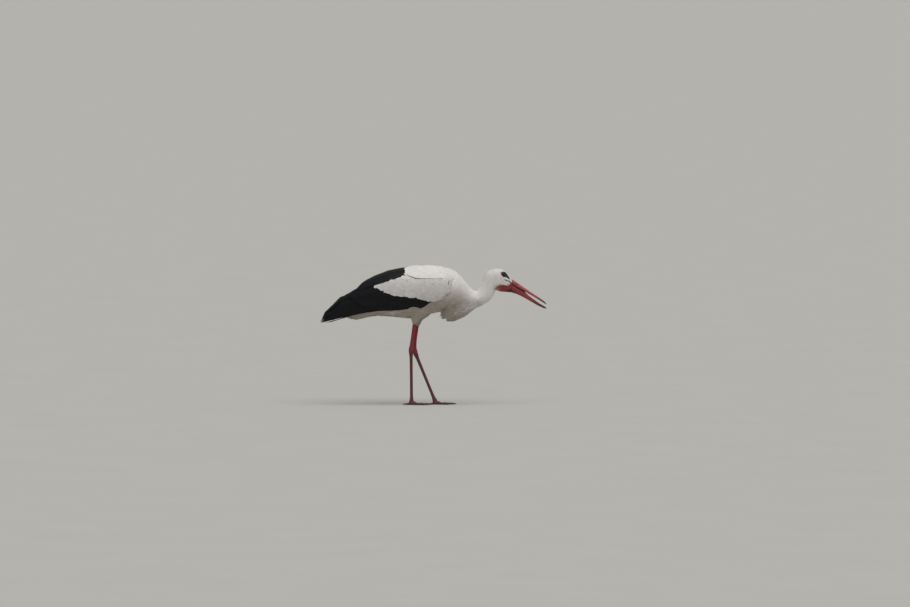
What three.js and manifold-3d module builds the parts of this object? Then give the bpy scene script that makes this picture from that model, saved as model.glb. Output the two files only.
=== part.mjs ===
// White stork (Ciconia ciconia), life size: walking, head lowered, bill parted.
// Millimetres. +X is the way the bird faces, +Y its left side, +Z up; the soles stand on Z = 0.
// Every solid reaches out to the tips of the feathers that it stands for.
import * as THREE from "three";
import { mergeVertices } from "three/addons/utils/BufferGeometryUtils.js";
import Module from "manifold-3d";

const wasm = await Module();
wasm.setup();

// ---------- driving dimensions ----------
const GAP = 0.4; // clearance between neighbouring solids
const TARSUS_LENGTH = 215;
const ANKLE_RIGHT = [-89, -26, 224];
const ANKLE_LEFT = [-72, 32, 212];
const FOOT_RIGHT = [-87, -8, 0]; // nearly under the bird's middle, because it carries the bird
const FOOT_LEFT = [11, 28, 0];
const SOLE_JOINT_HEIGHT = 10; // centre of the joint at the root of the toes
const EYE_CENTRE = [295, 16.5, 533];
const EYE_RADIUS = 8;
const FOOT_BALL = [13, 11, 10]; // half sizes of the ball of the foot: along, across, up
const FOOT_BALL_HEIGHT = 7.5; // of its centre, so that it stands on a flat
const FAR_OUT = 400; // further than any side of the bird
const CRUMB_VOLUME = 100; // mm³: a cut may leave crumbs this small

// Sections of trunk, neck and head, from tail root to bill root: top x z, bottom x z, half width,
// lean (above 0 is wider low down) and the roundness power (2 is an ellipse, more is squarer).
const BODY = [
  [-330, 442, -338, 356, 16, 0.1, 2],
  [-312, 456, -314, 352, 30, 0.1, 2],
  [-285, 474, -285, 358, 42, 0.1, 2],
  [-245, 498, -245, 366, 58, 0, 2.1],
  [-204, 519, -204, 367, 72, 0, 2.1],
  [-160, 538, -160, 363, 84, 0, 2.2],
  [-115, 557, -115, 358, 91, 0, 2.2],
  [-75, 569, -78, 357, 94, 0, 2.2],
  [-35, 573, -42, 363, 94, 0, 2.2],
  [8, 572, -8, 374, 91, 0, 2.2],
  [45, 567, 24, 381, 86, 0, 2.2],
  [80, 556, 54, 384, 76, 0, 2.1],
  [108, 537, 80, 386, 65, 0, 2.1],
  [132, 509, 105, 389, 54, 0, 2],
  [150, 487, 131, 394, 44, 0, 2],
  [163, 473, 160, 400, 36, 0, 2],
  [172, 468, 190, 407, 31, 0, 2],
  [181, 470, 217, 417, 29, 0, 2],
  [189, 479, 236, 432, 28, 0, 2],
  [196, 494, 247, 447, 28, 0, 2],
  [203, 513, 252, 459, 28, 0, 2],
  [212, 535, 254, 466, 28.5, -0.05, 2.1],
  [225, 551, 256, 470, 29, -0.1, 2.2],
  [243, 558, 260, 469, 29, -0.12, 2.3],
  [266, 560, 267, 466, 28, -0.15, 2.4],
  [288, 555, 281, 463, 25.5, -0.16, 2.5],
  [306, 541, 299, 462, 22, -0.14, 2.5],
  [322, 518, 320, 461, 16.5, 0, 2.4],
];

// Where the body is parted: a point on its top line and one on its bottom line.
const HEAD_CUT = [206, 523, 253, 464];
const NECK_CUT = [176, 469, 204, 412];
const SHOULDER_CUT = [118, 528, 88, 388];
// The cheek's lower edge, below which the jaw and throat are bare skin.
const CHEEK_LINE = [
  [240, 470],
  [252, 480],
  [262, 493],
  [290, 496],
  [335, 500],
];
const HEAD_MIDDLE = [265, 530];
const THROAT_MIDDLE = [290, 478];

// Long plumes that hang from the lower neck: as BODY.
const RUFF = [
  [208, 430, 208, 411, 10, 0, 2],
  [176, 425, 170, 396, 25, 0, 2],
  [142, 420, 142, 378, 33, 0, 2],
  [106, 415, 113, 361, 36, 0, 2],
  [76, 410, 86, 348, 34, 0, 2],
  [52, 405, 60, 342, 26, 0, 2],
  [36, 400, 38, 356, 12, 0, 2],
];

// The folded wings' outer surface: x, top z, bottom z, half width, and the wing's own depth there.
const WING_POWER = 2.2; // its sections' roundness, as in BODY
const WING = [
  [90, 551, 412, 70, 12],
  [60, 563, 392, 86, 13],
  [20, 572, 378, 96, 13],
  [-30, 574, 366, 100, 12],
  [-80, 570, 358, 100, 11],
  [-130, 561, 354, 96, 10],
  [-180, 551, 350, 87, 9],
  [-240, 529, 347, 73, 8],
  [-300, 499, 343, 56, 7],
  [-340, 466, 337, 45, 6],
  [-380, 446, 326, 36, 5.5],
  [-415, 410, 316, 27, 5],
  [-445, 382, 308, 19, 4.5],
  [-468, 336, 304, 11, 4],
  [-480, 320, 302, 7, 4],
];
// The folded wing seen from the side: round the wrist, along the lower edge, to the tip and back.
const WING_SIDE = [
  [64, 548],
  [69, 525],
  [66, 497],
  [57, 471],
  [40, 451],
  [16, 434],
  [-10, 420],
  [-34, 399],
  [-60, 392],
  [-90, 400],
  [-134, 394],
  [-190, 384],
  [-250, 384],
  [-300, 381],
  [-340, 375],
  [-375, 357],
  [-410, 340],
  [-440, 332],
  [-463, 330],
  [-466, 337],
  [-457, 360],
  [-443, 386],
  [-410, 410],
];
// Its upper side lies open, so that the wing's own sections end it.
const WING_SIDE_TOP = [
  [-398, 437],
  [-380, 470],
  [-200, 640],
  [50, 640],
];
// How near to the middle of the back the wing comes: x, y.
const WING_INNER = [
  [90, 52],
  [50, 38],
  [0, 29],
  [-60, 22],
  [-110, 12],
  [-150, 3],
  [-200, 1],
  [-330, 0.7],
  [-490, 0.7],
];
// Lines that part the wing: scapulars and tertials above, coverts between, quills below.
const SCAPULAR_LINE = [
  [110, 518],
  [34, 521],
  [-20, 525],
  [-70, 526],
  [-119, 538],
  [-155, 524],
  [-196, 506],
  [-230, 494],
  [-257, 485],
  [-290, 470],
  [-306, 462],
];
const COVERT_LINE = [
  [80, 462],
  [40, 441],
  [10, 434],
  [-24, 431],
  [-60, 444],
  [-114, 450],
  [-170, 456],
  [-206, 467],
  [-235, 486],
  [-253, 487],
];
// The white scapulars end at this line, and the black tertials begin.
const TERTIAL_FRONT = [
  [-119, 538],
  [-112, 548],
  [-118, 600],
];
// The quills behind this line are the primaries.
const PRIMARY_LINE = [
  [-316, 620],
  [-314, 476],
  [-306, 462],
  [-316, 430],
  [-336, 300],
];
// The wing's pieces: name, colour and a side point (x, z) near the middle of each.
const WING_PIECES = [
  ["scapulars", "white", [-30, 545]],
  ["coverts", "white", [-90, 490]],
  ["secondaries", "black", [-140, 430]],
  ["tertials", "black", [-215, 515]],
  ["primaries", "black", [-390, 400]],
];

// Tail: centre x z, half width, half thickness, and how far its edges droop.
const TAIL = [
  [-236, 428, 18, 5, 2],
  [-280, 409, 26, 5, 4],
  [-330, 383, 30, 4, 6],
  [-380, 360, 31, 3.4, 7],
  [-425, 343, 28, 2.6, 6],
  [-454, 333, 20, 2, 4],
  [-463, 330, 9, 1.5, 1],
];

// Upper and lower bill: x and z of the ridge, x and z of the cutting edge, half width at that edge.
const BILL_UPPER = [
  [322.5, 517, 321.9, 499, 12.5],
  [345, 502, 340, 486.5, 11],
  [376, 481, 370, 470, 9],
  [410, 458.5, 405, 449.5, 7],
  [440, 438, 436, 431, 5],
  [459, 423.5, 457, 417.5, 3],
  [466.4, 414, 466, 412.6, 0.9],
];
const BILL_LOWER = [
  [320.6, 462, 321.7, 493.5, 12.5],
  [343, 455, 346, 476, 10.8],
  [370, 442.5, 374, 457.5, 8.6],
  [399, 426, 403, 438, 6.6],
  [430, 408.5, 433, 418, 4.6],
  [455, 397, 456, 405.5, 2.6],
  [465, 395, 465, 400, 0.9],
];

// Feathered thigh and bare shank of a leg whose ankle is at [x, y, z]: offsets from the ankle as
// [dx, dy, dz, radius across, radius fore and aft].
const THIGH_RIGHT = [
  [48, -18, 196, 32, 52],
  [36, -17, 168, 31, 48],
  [26, -14, 144, 25, 37],
  [20, -11, 126, 17, 24],
  [17, -9, 113, 11.5, 15],
  [15, -8, 104, 8.6, 10],
  [14, -8, 101, 7.6, 8],
];
const SHANK = [
  [16, -9, 120, 6, 6.8],
  [12, -6.5, 90, 5.8, 6.5],
  [6, -3, 50, 5.8, 6.6],
  [2, -1, 20, 6.6, 8],
  [0.5, 0, 7, 8.6, 10.2],
  [0, 0, 0.3, 8.4, 9.8],
];
// The scaled lower leg: share of its length from the ankle, radius across, radius fore and aft.
const TARSUS = [
  [0, 8.4, 9.8],
  [0.04, 8.2, 9.4],
  [0.09, 6.2, 7.2],
  [0.18, 4.9, 5.7],
  [0.5, 4.6, 5.3],
  [0.82, 4.8, 5.5],
  [0.93, 6, 6.6],
  [1, 6.8, 7.2],
];
// Toes: name, heading in degrees from straight ahead (towards the outer side), length, root radius,
// tip radius, number of pads, claw length.
const TOES = [
  ["hallux", -165, 30, 4.3, 3.2, 1, 9],
  ["inner_toe", -33, 60, 5, 3.5, 2, 10],
  ["middle_toe", 2, 76, 5.3, 3.7, 3, 11],
  ["outer_toe", 35, 66, 4.9, 3.4, 4, 10],
];

// ---------- colours ----------
const COLOURS = {
  white: 0xe9e6e0,
  black: 0x16171a,
  bill: 0xb8323a,
  skin: 0xa8302f,
  leg: 0x9c3238,
  claw: 0x3a302c,
  eye: 0x120e0c,
};
const finish = (name, roughness) =>
  new THREE.MeshStandardMaterial({ color: COLOURS[name], roughness, metalness: 0 });
const MATERIALS = {
  white: finish("white", 0.9),
  black: finish("black", 0.6),
  bill: finish("bill", 0.4),
  skin: finish("skin", 0.6),
  leg: finish("leg", 0.6),
  claw: finish("claw", 0.5),
  eye: finish("eye", 0.1),
};

// ---------- making shapes ----------
const vector = (x, y, z) => new THREE.Vector3(x, y, z);

// A closed solid through rings that each have as many points.
function loft(rings) {
  const sides = rings[0].length;
  const middle = (ring) =>
    ring.reduce((sum, p) => sum.add(p), vector(0, 0, 0)).divideScalar(sides);
  const points = [...rings.flat(), middle(rings[0]), middle(rings.at(-1))];
  const index = [];
  for (let i = 0; i < rings.length - 1; i++)
    for (let j = 0; j < sides; j++) {
      const a = i * sides + j;
      const b = i * sides + ((j + 1) % sides);
      index.push(a, b, b + sides, a, b + sides, a + sides);
    }
  const first = points.length - 2;
  const last = (rings.length - 1) * sides;
  for (let j = 0; j < sides; j++) {
    const next = (j + 1) % sides;
    index.push(first, next, j, first + 1, last + j, last + next);
  }
  const geometry = new THREE.BufferGeometry().setFromPoints(points);
  geometry.setIndex(index);
  return solid(geometry);
}

// A three.js geometry as a solid that manifold-3d can join and cut, its faces pointing out.
function solid(geometry) {
  const bare = geometry.clone();
  bare.deleteAttribute("normal");
  bare.deleteAttribute("uv");
  const merged = mergeVertices(bare, 1e-4);
  const make = (triVerts) =>
    new wasm.Manifold(
      new wasm.Mesh({
        numProp: 3,
        vertProperties: merged.attributes.position.array,
        triVerts,
      }),
    );
  const triVerts = new Uint32Array(merged.index.array);
  const made = make(triVerts);
  return made.volume() > 0 ? made : make(triVerts.reverse());
}

// A solid as a three.js mesh, without the crumbs that a cut may leave.
function mesh(name, material, shape) {
  const pieces = shape.decompose().sort((a, b) => b.volume() - a.volume());
  const { vertProperties, triVerts } = pieces[0].getMesh();
  const geometry = new THREE.BufferGeometry();
  geometry.setAttribute("position", new THREE.BufferAttribute(vertProperties, 3));
  geometry.setIndex(new THREE.BufferAttribute(triVerts, 1));
  geometry.computeVertexNormals();
  const made = new THREE.Mesh(geometry, MATERIALS[material]);
  made.name = name;
  return made;
}

// One oval section between a top and a bottom point.
function ovalRing(top, bottom, half, lean, power, sides) {
  const centre = top.clone().add(bottom).multiplyScalar(0.5);
  const rise = top.clone().sub(centre);
  const ring = [];
  for (let i = 0; i < sides; i++) {
    const angle = (2 * Math.PI * i) / sides;
    const squared = (v) => Math.sign(v) * Math.abs(v) ** (2 / power);
    const up = squared(Math.sin(angle));
    const across = squared(Math.cos(angle)) * (1 - lean * up);
    ring.push(centre.clone().addScaledVector(rise, up).add(vector(0, half * across, 0)));
  }
  return ring;
}

// A body of oval sections through rows like BODY's, all of its sides moved out by grow.
function ovalLoft(rows, { sides = 22, grow = 0 } = {}) {
  return loft(
    rows.map(([topX, topZ, bottomX, bottomZ, half, lean, power]) => {
      const high = vector(topX, 0, topZ);
      const low = vector(bottomX, 0, bottomZ);
      const out = high.clone().sub(low).setLength(grow);
      return ovalRing(high.add(out), low.sub(out), half + grow, lean, power, sides);
    }),
  );
}

// A limb of oval sections square to its path, through rows of [x, y, z, across, fore and aft].
// Nothing of it goes below the floor.
function limb(rows, { sides = 10, grow = 0, side = vector(0, 1, 0), floor = -FAR_OUT } = {}) {
  const centres = rows.map(([x, y, z]) => vector(x, y, z));
  return loft(
    rows.map(([, , , across, deep], i) => {
      const along = centres[Math.min(i + 1, rows.length - 1)]
        .clone()
        .sub(centres[Math.max(i - 1, 0)]);
      const fore = along.cross(side).normalize();
      return Array.from({ length: sides }, (_, j) => {
        const angle = (2 * Math.PI * (j + 0.5)) / sides;
        const p = centres[i]
          .clone()
          .addScaledVector(side, Math.cos(angle) * (across + grow))
          .addScaledVector(fore, Math.sin(angle) * (deep + grow));
        p.z = Math.max(p.z, floor);
        return p;
      });
    }),
  );
}

// The outline moved outwards by a distance, point by point along its own normal.
function offset(outline, distance) {
  return outline.map(([x, y], i) => {
    const [x0, y0] = outline[(i + outline.length - 1) % outline.length];
    const [x1, y1] = outline[(i + 1) % outline.length];
    const length = Math.hypot(x1 - x0, y1 - y0);
    return [x + (distance * (y1 - y0)) / length, y - (distance * (x1 - x0)) / length];
  });
}

function extruded(outline, depth) {
  const shape = new THREE.Shape(outline.map(([x, y]) => new THREE.Vector2(x, y)));
  return new THREE.ExtrudeGeometry(shape, { depth, bevelEnabled: false, curveSegments: 1 });
}

// A side outline (x, z) carried right through the bird.
const throughSide = (outline) =>
  solid(extruded(outline, 2 * FAR_OUT).rotateX(Math.PI / 2).translate(0, FAR_OUT, 0));

// A thin cut along a side line (x, z).
function thinCut(line) {
  const edge = (shift) =>
    line.map(([x, y], i) => {
      const [x0, y0] = line[Math.max(i - 1, 0)];
      const [x1, y1] = line[Math.min(i + 1, line.length - 1)];
      const length = Math.hypot(x1 - x0, y1 - y0);
      return [x - (shift * (y1 - y0)) / length, y + (shift * (x1 - x0)) / length];
    });
  return throughSide([...edge(GAP / 2), ...edge(-GAP / 2).reverse()]);
}

// The two sides of a cut square to the side view, through two points of that view.
function parted(shape, [x0, z0, x1, z1]) {
  const length = Math.hypot(x1 - x0, z1 - z0);
  const normal = [(z0 - z1) / length, 0, (x1 - x0) / length];
  const at = normal[0] * x0 + normal[2] * z0;
  return {
    front: shape.trimByPlane(normal, at + GAP / 2),
    back: shape.trimByPlane(normal.map((n) => -n), -at + GAP / 2),
  };
}

// The piece of a cut solid that lies nearest to a side point (x, z).
function pieceAt(shape, [x, z]) {
  const away = (piece) => {
    const { min, max } = piece.boundingBox();
    return Math.hypot((min[0] + max[0]) / 2 - x, (min[2] + max[2]) / 2 - z);
  };
  const whole = shape.decompose().filter((piece) => piece.volume() > CRUMB_VOLUME);
  return whole.sort((a, b) => away(a) - away(b))[0];
}

// ---------- the wings ----------
const ROOM_OUTSIDE = 40; // how far a wing's room reaches out past the wing
// Sections of the wings' outer surface, or of the inner one where a depth is given: the wing's own
// depth and that much more.
const wingRows = (inset = null) =>
  WING.map(([x, top, low, half, depth]) => {
    const d = inset === null ? 0 : depth + inset;
    return [x, top - d, x, low + d, half - d, 0, WING_POWER];
  });

// One folded wing, or the room that it takes in the body with a gap round it.
// Side is 1 for the left and -1 for the right.
function wingSpace(side, gap = 0) {
  const outer = ovalLoft(wingRows(), { grow: gap ? ROOM_OUTSIDE : 0 });
  const inner = ovalLoft(wingRows(gap));
  const seen = throughSide(offset([...WING_SIDE, ...WING_SIDE_TOP], -gap));
  const [front, back] = [WING_INNER[0][0], WING_INNER.at(-1)[0]];
  const plan = [...WING_INNER.map(([x, y]) => [x, y - gap]), [back, FAR_OUT], [front, FAR_OUT]];
  const above = solid(extruded(plan, 2 * FAR_OUT));
  const whole = outer.subtract(inner).intersect(seen).intersect(above);
  return side > 0 ? whole : whole.mirror([0, 1, 0]);
}

function wing(side, label) {
  const cuts = [SCAPULAR_LINE, COVERT_LINE, TERTIAL_FRONT, PRIMARY_LINE].map(thinCut);
  const cut = cuts.reduce((left, line) => left.subtract(line), wingSpace(side));
  return WING_PIECES.map(([name, colour, middle]) =>
    mesh(`wing_${label}_${name}`, colour, pieceAt(cut, middle)),
  );
}

// ---------- the tail ----------
const TAIL_SIDES = 14;

function tailSolid(grow = 0) {
  return loft(
    TAIL.map(([x, z, half, thick, droop]) =>
      Array.from({ length: TAIL_SIDES }, (_, j) => {
        const angle = (2 * Math.PI * j) / TAIL_SIDES;
        const across = Math.cos(angle);
        const rise = Math.sin(angle) * (thick + grow) - droop * across * across;
        return vector(x, across * (half + grow), z + rise);
      }),
    ),
  );
}

// ---------- the bill ----------
const BILL_ARCS = 8;
const BILL_FULLNESS = 0.85; // below 1 the bill's back is fuller than a half ellipse

const billHalf = (name, rows) =>
  mesh(
    name,
    "bill",
    loft(
      rows.map(([ridgeX, ridgeZ, edgeX, edgeZ, half]) =>
        Array.from({ length: BILL_ARCS + 1 }, (_, j) => {
          const angle = (Math.PI * j) / BILL_ARCS;
          const up = Math.sin(angle) ** BILL_FULLNESS;
          return vector(
            edgeX + (ridgeX - edgeX) * up,
            half * Math.cos(angle),
            edgeZ + (ridgeZ - edgeZ) * up,
          );
        }),
      ),
    ),
  );

// ---------- the legs ----------
const asLeft = ([dx, dy, dz, ...girth]) => [dx, -dy, dz, ...girth];

// A toe's own directions: ahead along it and across it.
function toeAxes(heading, side) {
  const angle = THREE.MathUtils.degToRad(heading) * side;
  return {
    ahead: vector(Math.cos(angle), Math.sin(angle), 0),
    across: vector(-Math.sin(angle), Math.cos(angle), 0),
  };
}

// The fleshy toe, swelling at each pad and flat below.
const PAD_SWELL = 0.06;
const TOE_CENTRE_HEIGHT = 0.86; // in radii, so that the toe lies on a flat
function toeFlesh([, heading, length, root, tip, pads], [x, y], side, grow = 0) {
  const { ahead, across } = toeAxes(heading, side);
  const steps = pads * 2 + 1;
  const rows = Array.from({ length: steps + 1 }, (_, i) => {
    const share = i / steps;
    const swell = 1 - PAD_SWELL * Math.cos(2 * Math.PI * share * pads);
    const radius = THREE.MathUtils.lerp(root, tip, share) * swell;
    const at = ahead.clone().multiplyScalar(share * length);
    return [x + at.x, y + at.y, radius * TOE_CENTRE_HEIGHT, radius, radius];
  });
  return limb(rows, { sides: 8, side: across, floor: -grow, grow });
}

// A claw's sections: share of its length; then, in the toe's tip radii, height and the two radii.
const CLAW = [
  [0, 0.95, 0.72, 0.7],
  [0.4, 0.85, 0.62, 0.55],
  [0.75, 0.62, 0.4, 0.36],
  [1, 0.3, 0.14, 0.14],
];

function toe(row, [x, y], side, label, room) {
  const [name, heading, length, , tip, , clawLength] = row;
  const { ahead, across } = toeAxes(heading, side);
  const clawRows = CLAW.map(([share, high, wide, deep]) => {
    const at = ahead.clone().multiplyScalar(length + GAP + share * clawLength);
    return [x + at.x, y + at.y, tip * high, tip * wide, tip * deep];
  });
  const nail = limb(clawRows, { sides: 6, side: across, floor: 0 });
  return [
    mesh(`leg_${label}_${name}`, "leg", toeFlesh(row, [x, y], side).subtract(room)),
    mesh(`leg_${label}_${name}_claw`, "claw", nail),
  ];
}

function footBall([x, y], grow = 0) {
  const ball = new THREE.SphereGeometry(1, 12, 6);
  ball.scale(...FOOT_BALL.map((size) => size + grow)).translate(x, y, FOOT_BALL_HEIGHT);
  return solid(ball).trimByPlane([0, 0, 1], 0);
}

function leg(label, side, ankle, foot, body) {
  const from = (rows) =>
    rows.map(side > 0 ? asLeft : (r) => r).map(([dx, dy, dz, ...girth]) => [
      ankle[0] + dx,
      ankle[1] + dy,
      ankle[2] + dz,
      ...girth,
    ]);
  const toeRoot = vector(foot[0], foot[1], SOLE_JOINT_HEIGHT);
  const joint = vector(...ankle);
  const down = toeRoot.clone().sub(joint).setLength(TARSUS_LENGTH);
  const tarsusRows = TARSUS.map(([share, across, deep]) => [
    ...joint.clone().addScaledVector(down, share).toArray(),
    across,
    deep,
  ]);
  const thigh = limb(from(THIGH_RIGHT), { sides: 12 });
  const thighRoom = limb(from(THIGH_RIGHT), { sides: 12, grow: GAP });
  const shank = limb(from(SHANK));
  const shankRoom = limb(from(SHANK), { grow: GAP });
  const tarsus = limb(tarsusRows);
  const ballRoom = footBall(foot, GAP);
  const middle = TOES.find(([name]) => name === "middle_toe");
  const besideRoom = ballRoom.add(toeFlesh(middle, foot, side, GAP));
  return [
    mesh(`leg_${label}_thigh`, "white", thigh.subtract(body)),
    mesh(`leg_${label}_shank`, "leg", shank.subtract(thighRoom)),
    mesh(`leg_${label}_tarsus`, "leg", tarsus.subtract(shankRoom).subtract(ballRoom)),
    mesh(`leg_${label}_foot`, "leg", footBall(foot)),
    ...TOES.flatMap((row) =>
      toe(row, foot, side, label, row === middle ? ballRoom : besideRoom),
    ),
  ];
}

// ---------- the whole bird ----------
function eye(side, grow = 0) {
  const [x, y, z] = EYE_CENTRE;
  return solid(new THREE.SphereGeometry(EYE_RADIUS + grow, 12, 6).translate(x, side * y, z));
}

function stork() {
  const wings = wingSpace(1, GAP).add(wingSpace(-1, GAP));
  const tailRoom = tailSolid(GAP);
  const whole = ovalLoft(BODY).subtract(wings).subtract(tailRoom);
  const bodyRoom = ovalLoft(BODY, { grow: GAP }).add(wings);
  const atHead = parted(whole, HEAD_CUT);
  const atNeck = parted(atHead.back, NECK_CUT);
  const atShoulder = parted(atNeck.back, SHOULDER_CUT);
  const head = atHead.front
    .subtract(thinCut(CHEEK_LINE))
    .subtract(eye(1, GAP))
    .subtract(eye(-1, GAP));

  const group = new THREE.Group();
  group.add(
    mesh("trunk", "white", atShoulder.back),
    mesh("neck_lower", "white", atShoulder.front),
    mesh("neck_upper", "white", atNeck.front),
    mesh("head", "white", pieceAt(head, HEAD_MIDDLE)),
    mesh("throat", "skin", pieceAt(head, THROAT_MIDDLE)),
    mesh("neck_ruff", "white", ovalLoft(RUFF, { sides: 14 }).subtract(bodyRoom)),
    mesh("eye_right", "eye", eye(-1)),
    mesh("eye_left", "eye", eye(1)),
    billHalf("bill_upper", BILL_UPPER),
    billHalf("bill_lower", BILL_LOWER),
    mesh("tail", "white", tailSolid().subtract(wings)),
    ...wing(-1, "right"),
    ...wing(1, "left"),
    ...leg("right", -1, ANKLE_RIGHT, FOOT_RIGHT, bodyRoom),
    ...leg("left", 1, ANKLE_LEFT, FOOT_LEFT, bodyRoom),
  );
  return group;
}

// The bird, moved so that its box is centred over the origin.
const group = stork();
const box = new THREE.Box3().setFromObject(group);
group.position.x = -(box.min.x + box.max.x) / 2;
group.position.y = -(box.min.y + box.max.y) / 2;

export default group;
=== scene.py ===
"""White stork: one skin, its plumage, bill, eyes and claws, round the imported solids."""
import math

import bpy
import numpy as np
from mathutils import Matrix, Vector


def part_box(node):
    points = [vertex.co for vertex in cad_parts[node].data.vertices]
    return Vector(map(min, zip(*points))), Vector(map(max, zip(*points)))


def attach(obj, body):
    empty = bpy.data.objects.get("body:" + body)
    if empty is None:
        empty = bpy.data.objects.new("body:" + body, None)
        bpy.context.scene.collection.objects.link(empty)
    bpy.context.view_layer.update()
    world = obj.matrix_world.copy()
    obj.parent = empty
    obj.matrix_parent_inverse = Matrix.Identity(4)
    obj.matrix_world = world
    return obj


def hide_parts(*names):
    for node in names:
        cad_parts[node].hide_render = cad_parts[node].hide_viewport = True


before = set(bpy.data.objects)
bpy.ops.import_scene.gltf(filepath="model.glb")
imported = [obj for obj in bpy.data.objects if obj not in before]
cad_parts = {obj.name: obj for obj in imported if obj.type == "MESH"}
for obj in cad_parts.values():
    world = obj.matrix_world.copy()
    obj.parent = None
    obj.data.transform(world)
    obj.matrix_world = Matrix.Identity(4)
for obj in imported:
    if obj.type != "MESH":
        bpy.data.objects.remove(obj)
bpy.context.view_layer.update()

MM = 0.001
BLACK = np.array([0.0050, 0.0054, 0.0070])
WHITE = np.array([0.775, 0.752, 0.738])
# Painted shade with some soiling, which the white turns to low on the breast and belly.
SOIL_AND_SHADE = np.array([0.42, 0.37, 0.315])
BARE_RED = np.array([0.26, 0.022, 0.024])
SHANK_RED = np.array([0.27, 0.020, 0.030])
TARSUS_RED = np.array([0.115, 0.026, 0.022])
BARE_BLACK = np.array([0.011, 0.010, 0.010])
PALE_THROAT = np.array([0.50, 0.20, 0.16])
BILL_ROOT = np.array([0.245, 0.020, 0.028])
BILL_BRIGHT = np.array([0.34, 0.036, 0.044])
BILL_DARK = np.array([0.030, 0.018, 0.014])
# The mouth's lining: dark red, darkened as painted shade inside the mouth.
SHADED_MOUTH = np.array([0.050, 0.008, 0.009])
CLAW_BLACK = np.array([0.035, 0.024, 0.020])
PUPIL, IRIS, EYE_RIM = [0.002, 0.002, 0.002], [0.020, 0.010, 0.006], [0.008, 0.006, 0.006]
# Painted shadow: the dark of the gap under the scapulars and of the fold at the wrist.
CREASE_SHADOW = np.array([0.110, 0.084, 0.074])

# ---------- the bird's own sizes, in millimetres ----------
EYE = np.array([295.0, 16.5, 533.0])
EYE_RADIUS, IRIS_RADIUS, PUPIL_RADIUS = 8.0, 5.2, 2.9
LID_OPENING = (6.1, 5.4)  # half sizes along the head and upright

# Sections from tail root to bill root: top x z, bottom x z, half width, lean, roundness, and how
# deep the coat lies over the skin there.
BODY = np.array([
    [-330, 442, -338, 356, 16, 0.1, 2, 6],
    [-312, 456, -314, 352, 30, 0.1, 2, 8],
    [-285, 474, -285, 358, 42, 0.1, 2, 9],
    [-245, 498, -245, 366, 58, 0, 2.1, 10],
    [-204, 519, -204, 367, 72, 0, 2.1, 10],
    [-160, 538, -160, 363, 84, 0, 2.2, 10],
    [-115, 557, -115, 358, 91, 0, 2.2, 10],
    [-75, 569, -78, 357, 94, 0, 2.2, 10],
    [-35, 573, -42, 363, 94, 0, 2.2, 10],
    [8, 572, -8, 374, 91, 0, 2.2, 10],
    [45, 567, 24, 381, 86, 0, 2.2, 10],
    [80, 556, 54, 384, 76, 0, 2.1, 9.5],
    [108, 537, 80, 386, 65, 0, 2.1, 9],
    [132, 509, 105, 389, 54, 0, 2, 8],
    [150, 487, 131, 394, 44, 0, 2, 7],
    [163, 473, 160, 400, 36, 0, 2, 6],
    [172, 468, 190, 407, 31, 0, 2, 5],
    [181, 470, 217, 417, 29, 0, 2, 4.5],
    [189, 479, 236, 432, 28, 0, 2, 4],
    [196, 494, 247, 447, 28, 0, 2, 3.6],
    [203, 513, 252, 459, 28, 0, 2, 3.2],
    [212, 535, 254, 466, 28.5, -0.05, 2.1, 2.8],
    [225, 551, 256, 470, 29, -0.1, 2.2, 2.5],
    [243, 558, 260, 469, 29, -0.12, 2.3, 2.2],
    [266, 560, 267, 466, 28, -0.15, 2.4, 2],
    [288, 555, 281, 463, 25.5, -0.16, 2.5, 1.7],
    [306, 541, 299, 462, 22, -0.14, 2.5, 1.3],
    [322, 518, 320, 461, 16.5, 0, 2.4, 0.9],
])
# The face closes round the root of the bill.
FACE_END = [325.5, 514.5, 323.5, 464.5, 12.6, 0, 2.2, 0.6]
# The ruff's sections from breast to tip, with the same columns.
RUFF = np.array([
    [208, 430, 208, 411, 10, 0, 2, 1],
    [176, 425, 170, 396, 25, 0, 2, 2],
    [142, 420, 142, 378, 33, 0, 2, 3],
    [106, 415, 113, 361, 36, 0, 2, 4],
    [76, 410, 86, 348, 34, 0, 2, 4],
    [52, 405, 60, 342, 26, 0, 2, 4],
    [36, 400, 38, 356, 12, 0, 2, 3],
])
# The folded wings' outer surface: x, top z, bottom z, half width.
WING_POWER = 2.2
WING = np.array([
    [90, 551, 412, 70],
    [60, 563, 392, 86],
    [20, 572, 378, 96],
    [-30, 574, 366, 100],
    [-80, 570, 358, 100],
    [-130, 561, 354, 96],
    [-180, 551, 350, 87],
    [-240, 529, 347, 73],
    [-300, 499, 343, 56],
    [-340, 466, 337, 45],
    [-380, 446, 326, 36],
    [-415, 410, 316, 27],
    [-445, 382, 308, 19],
    [-468, 336, 304, 11],
    [-480, 320, 302, 7],
])
# Lines over the wing's side, x and z.
WING_LOWER = np.array([
    [69, 525], [66, 497], [57, 471], [40, 451], [16, 434], [-10, 420], [-34, 399], [-60, 392],
    [-90, 400], [-134, 394], [-190, 384], [-250, 384], [-300, 381], [-340, 375], [-375, 357],
    [-410, 340], [-440, 332], [-463, 330],
])
WING_SIDE = np.vstack([[[64, 640], [64, 548]], WING_LOWER, [[-466, 337], [-398, 640]]])
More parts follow.
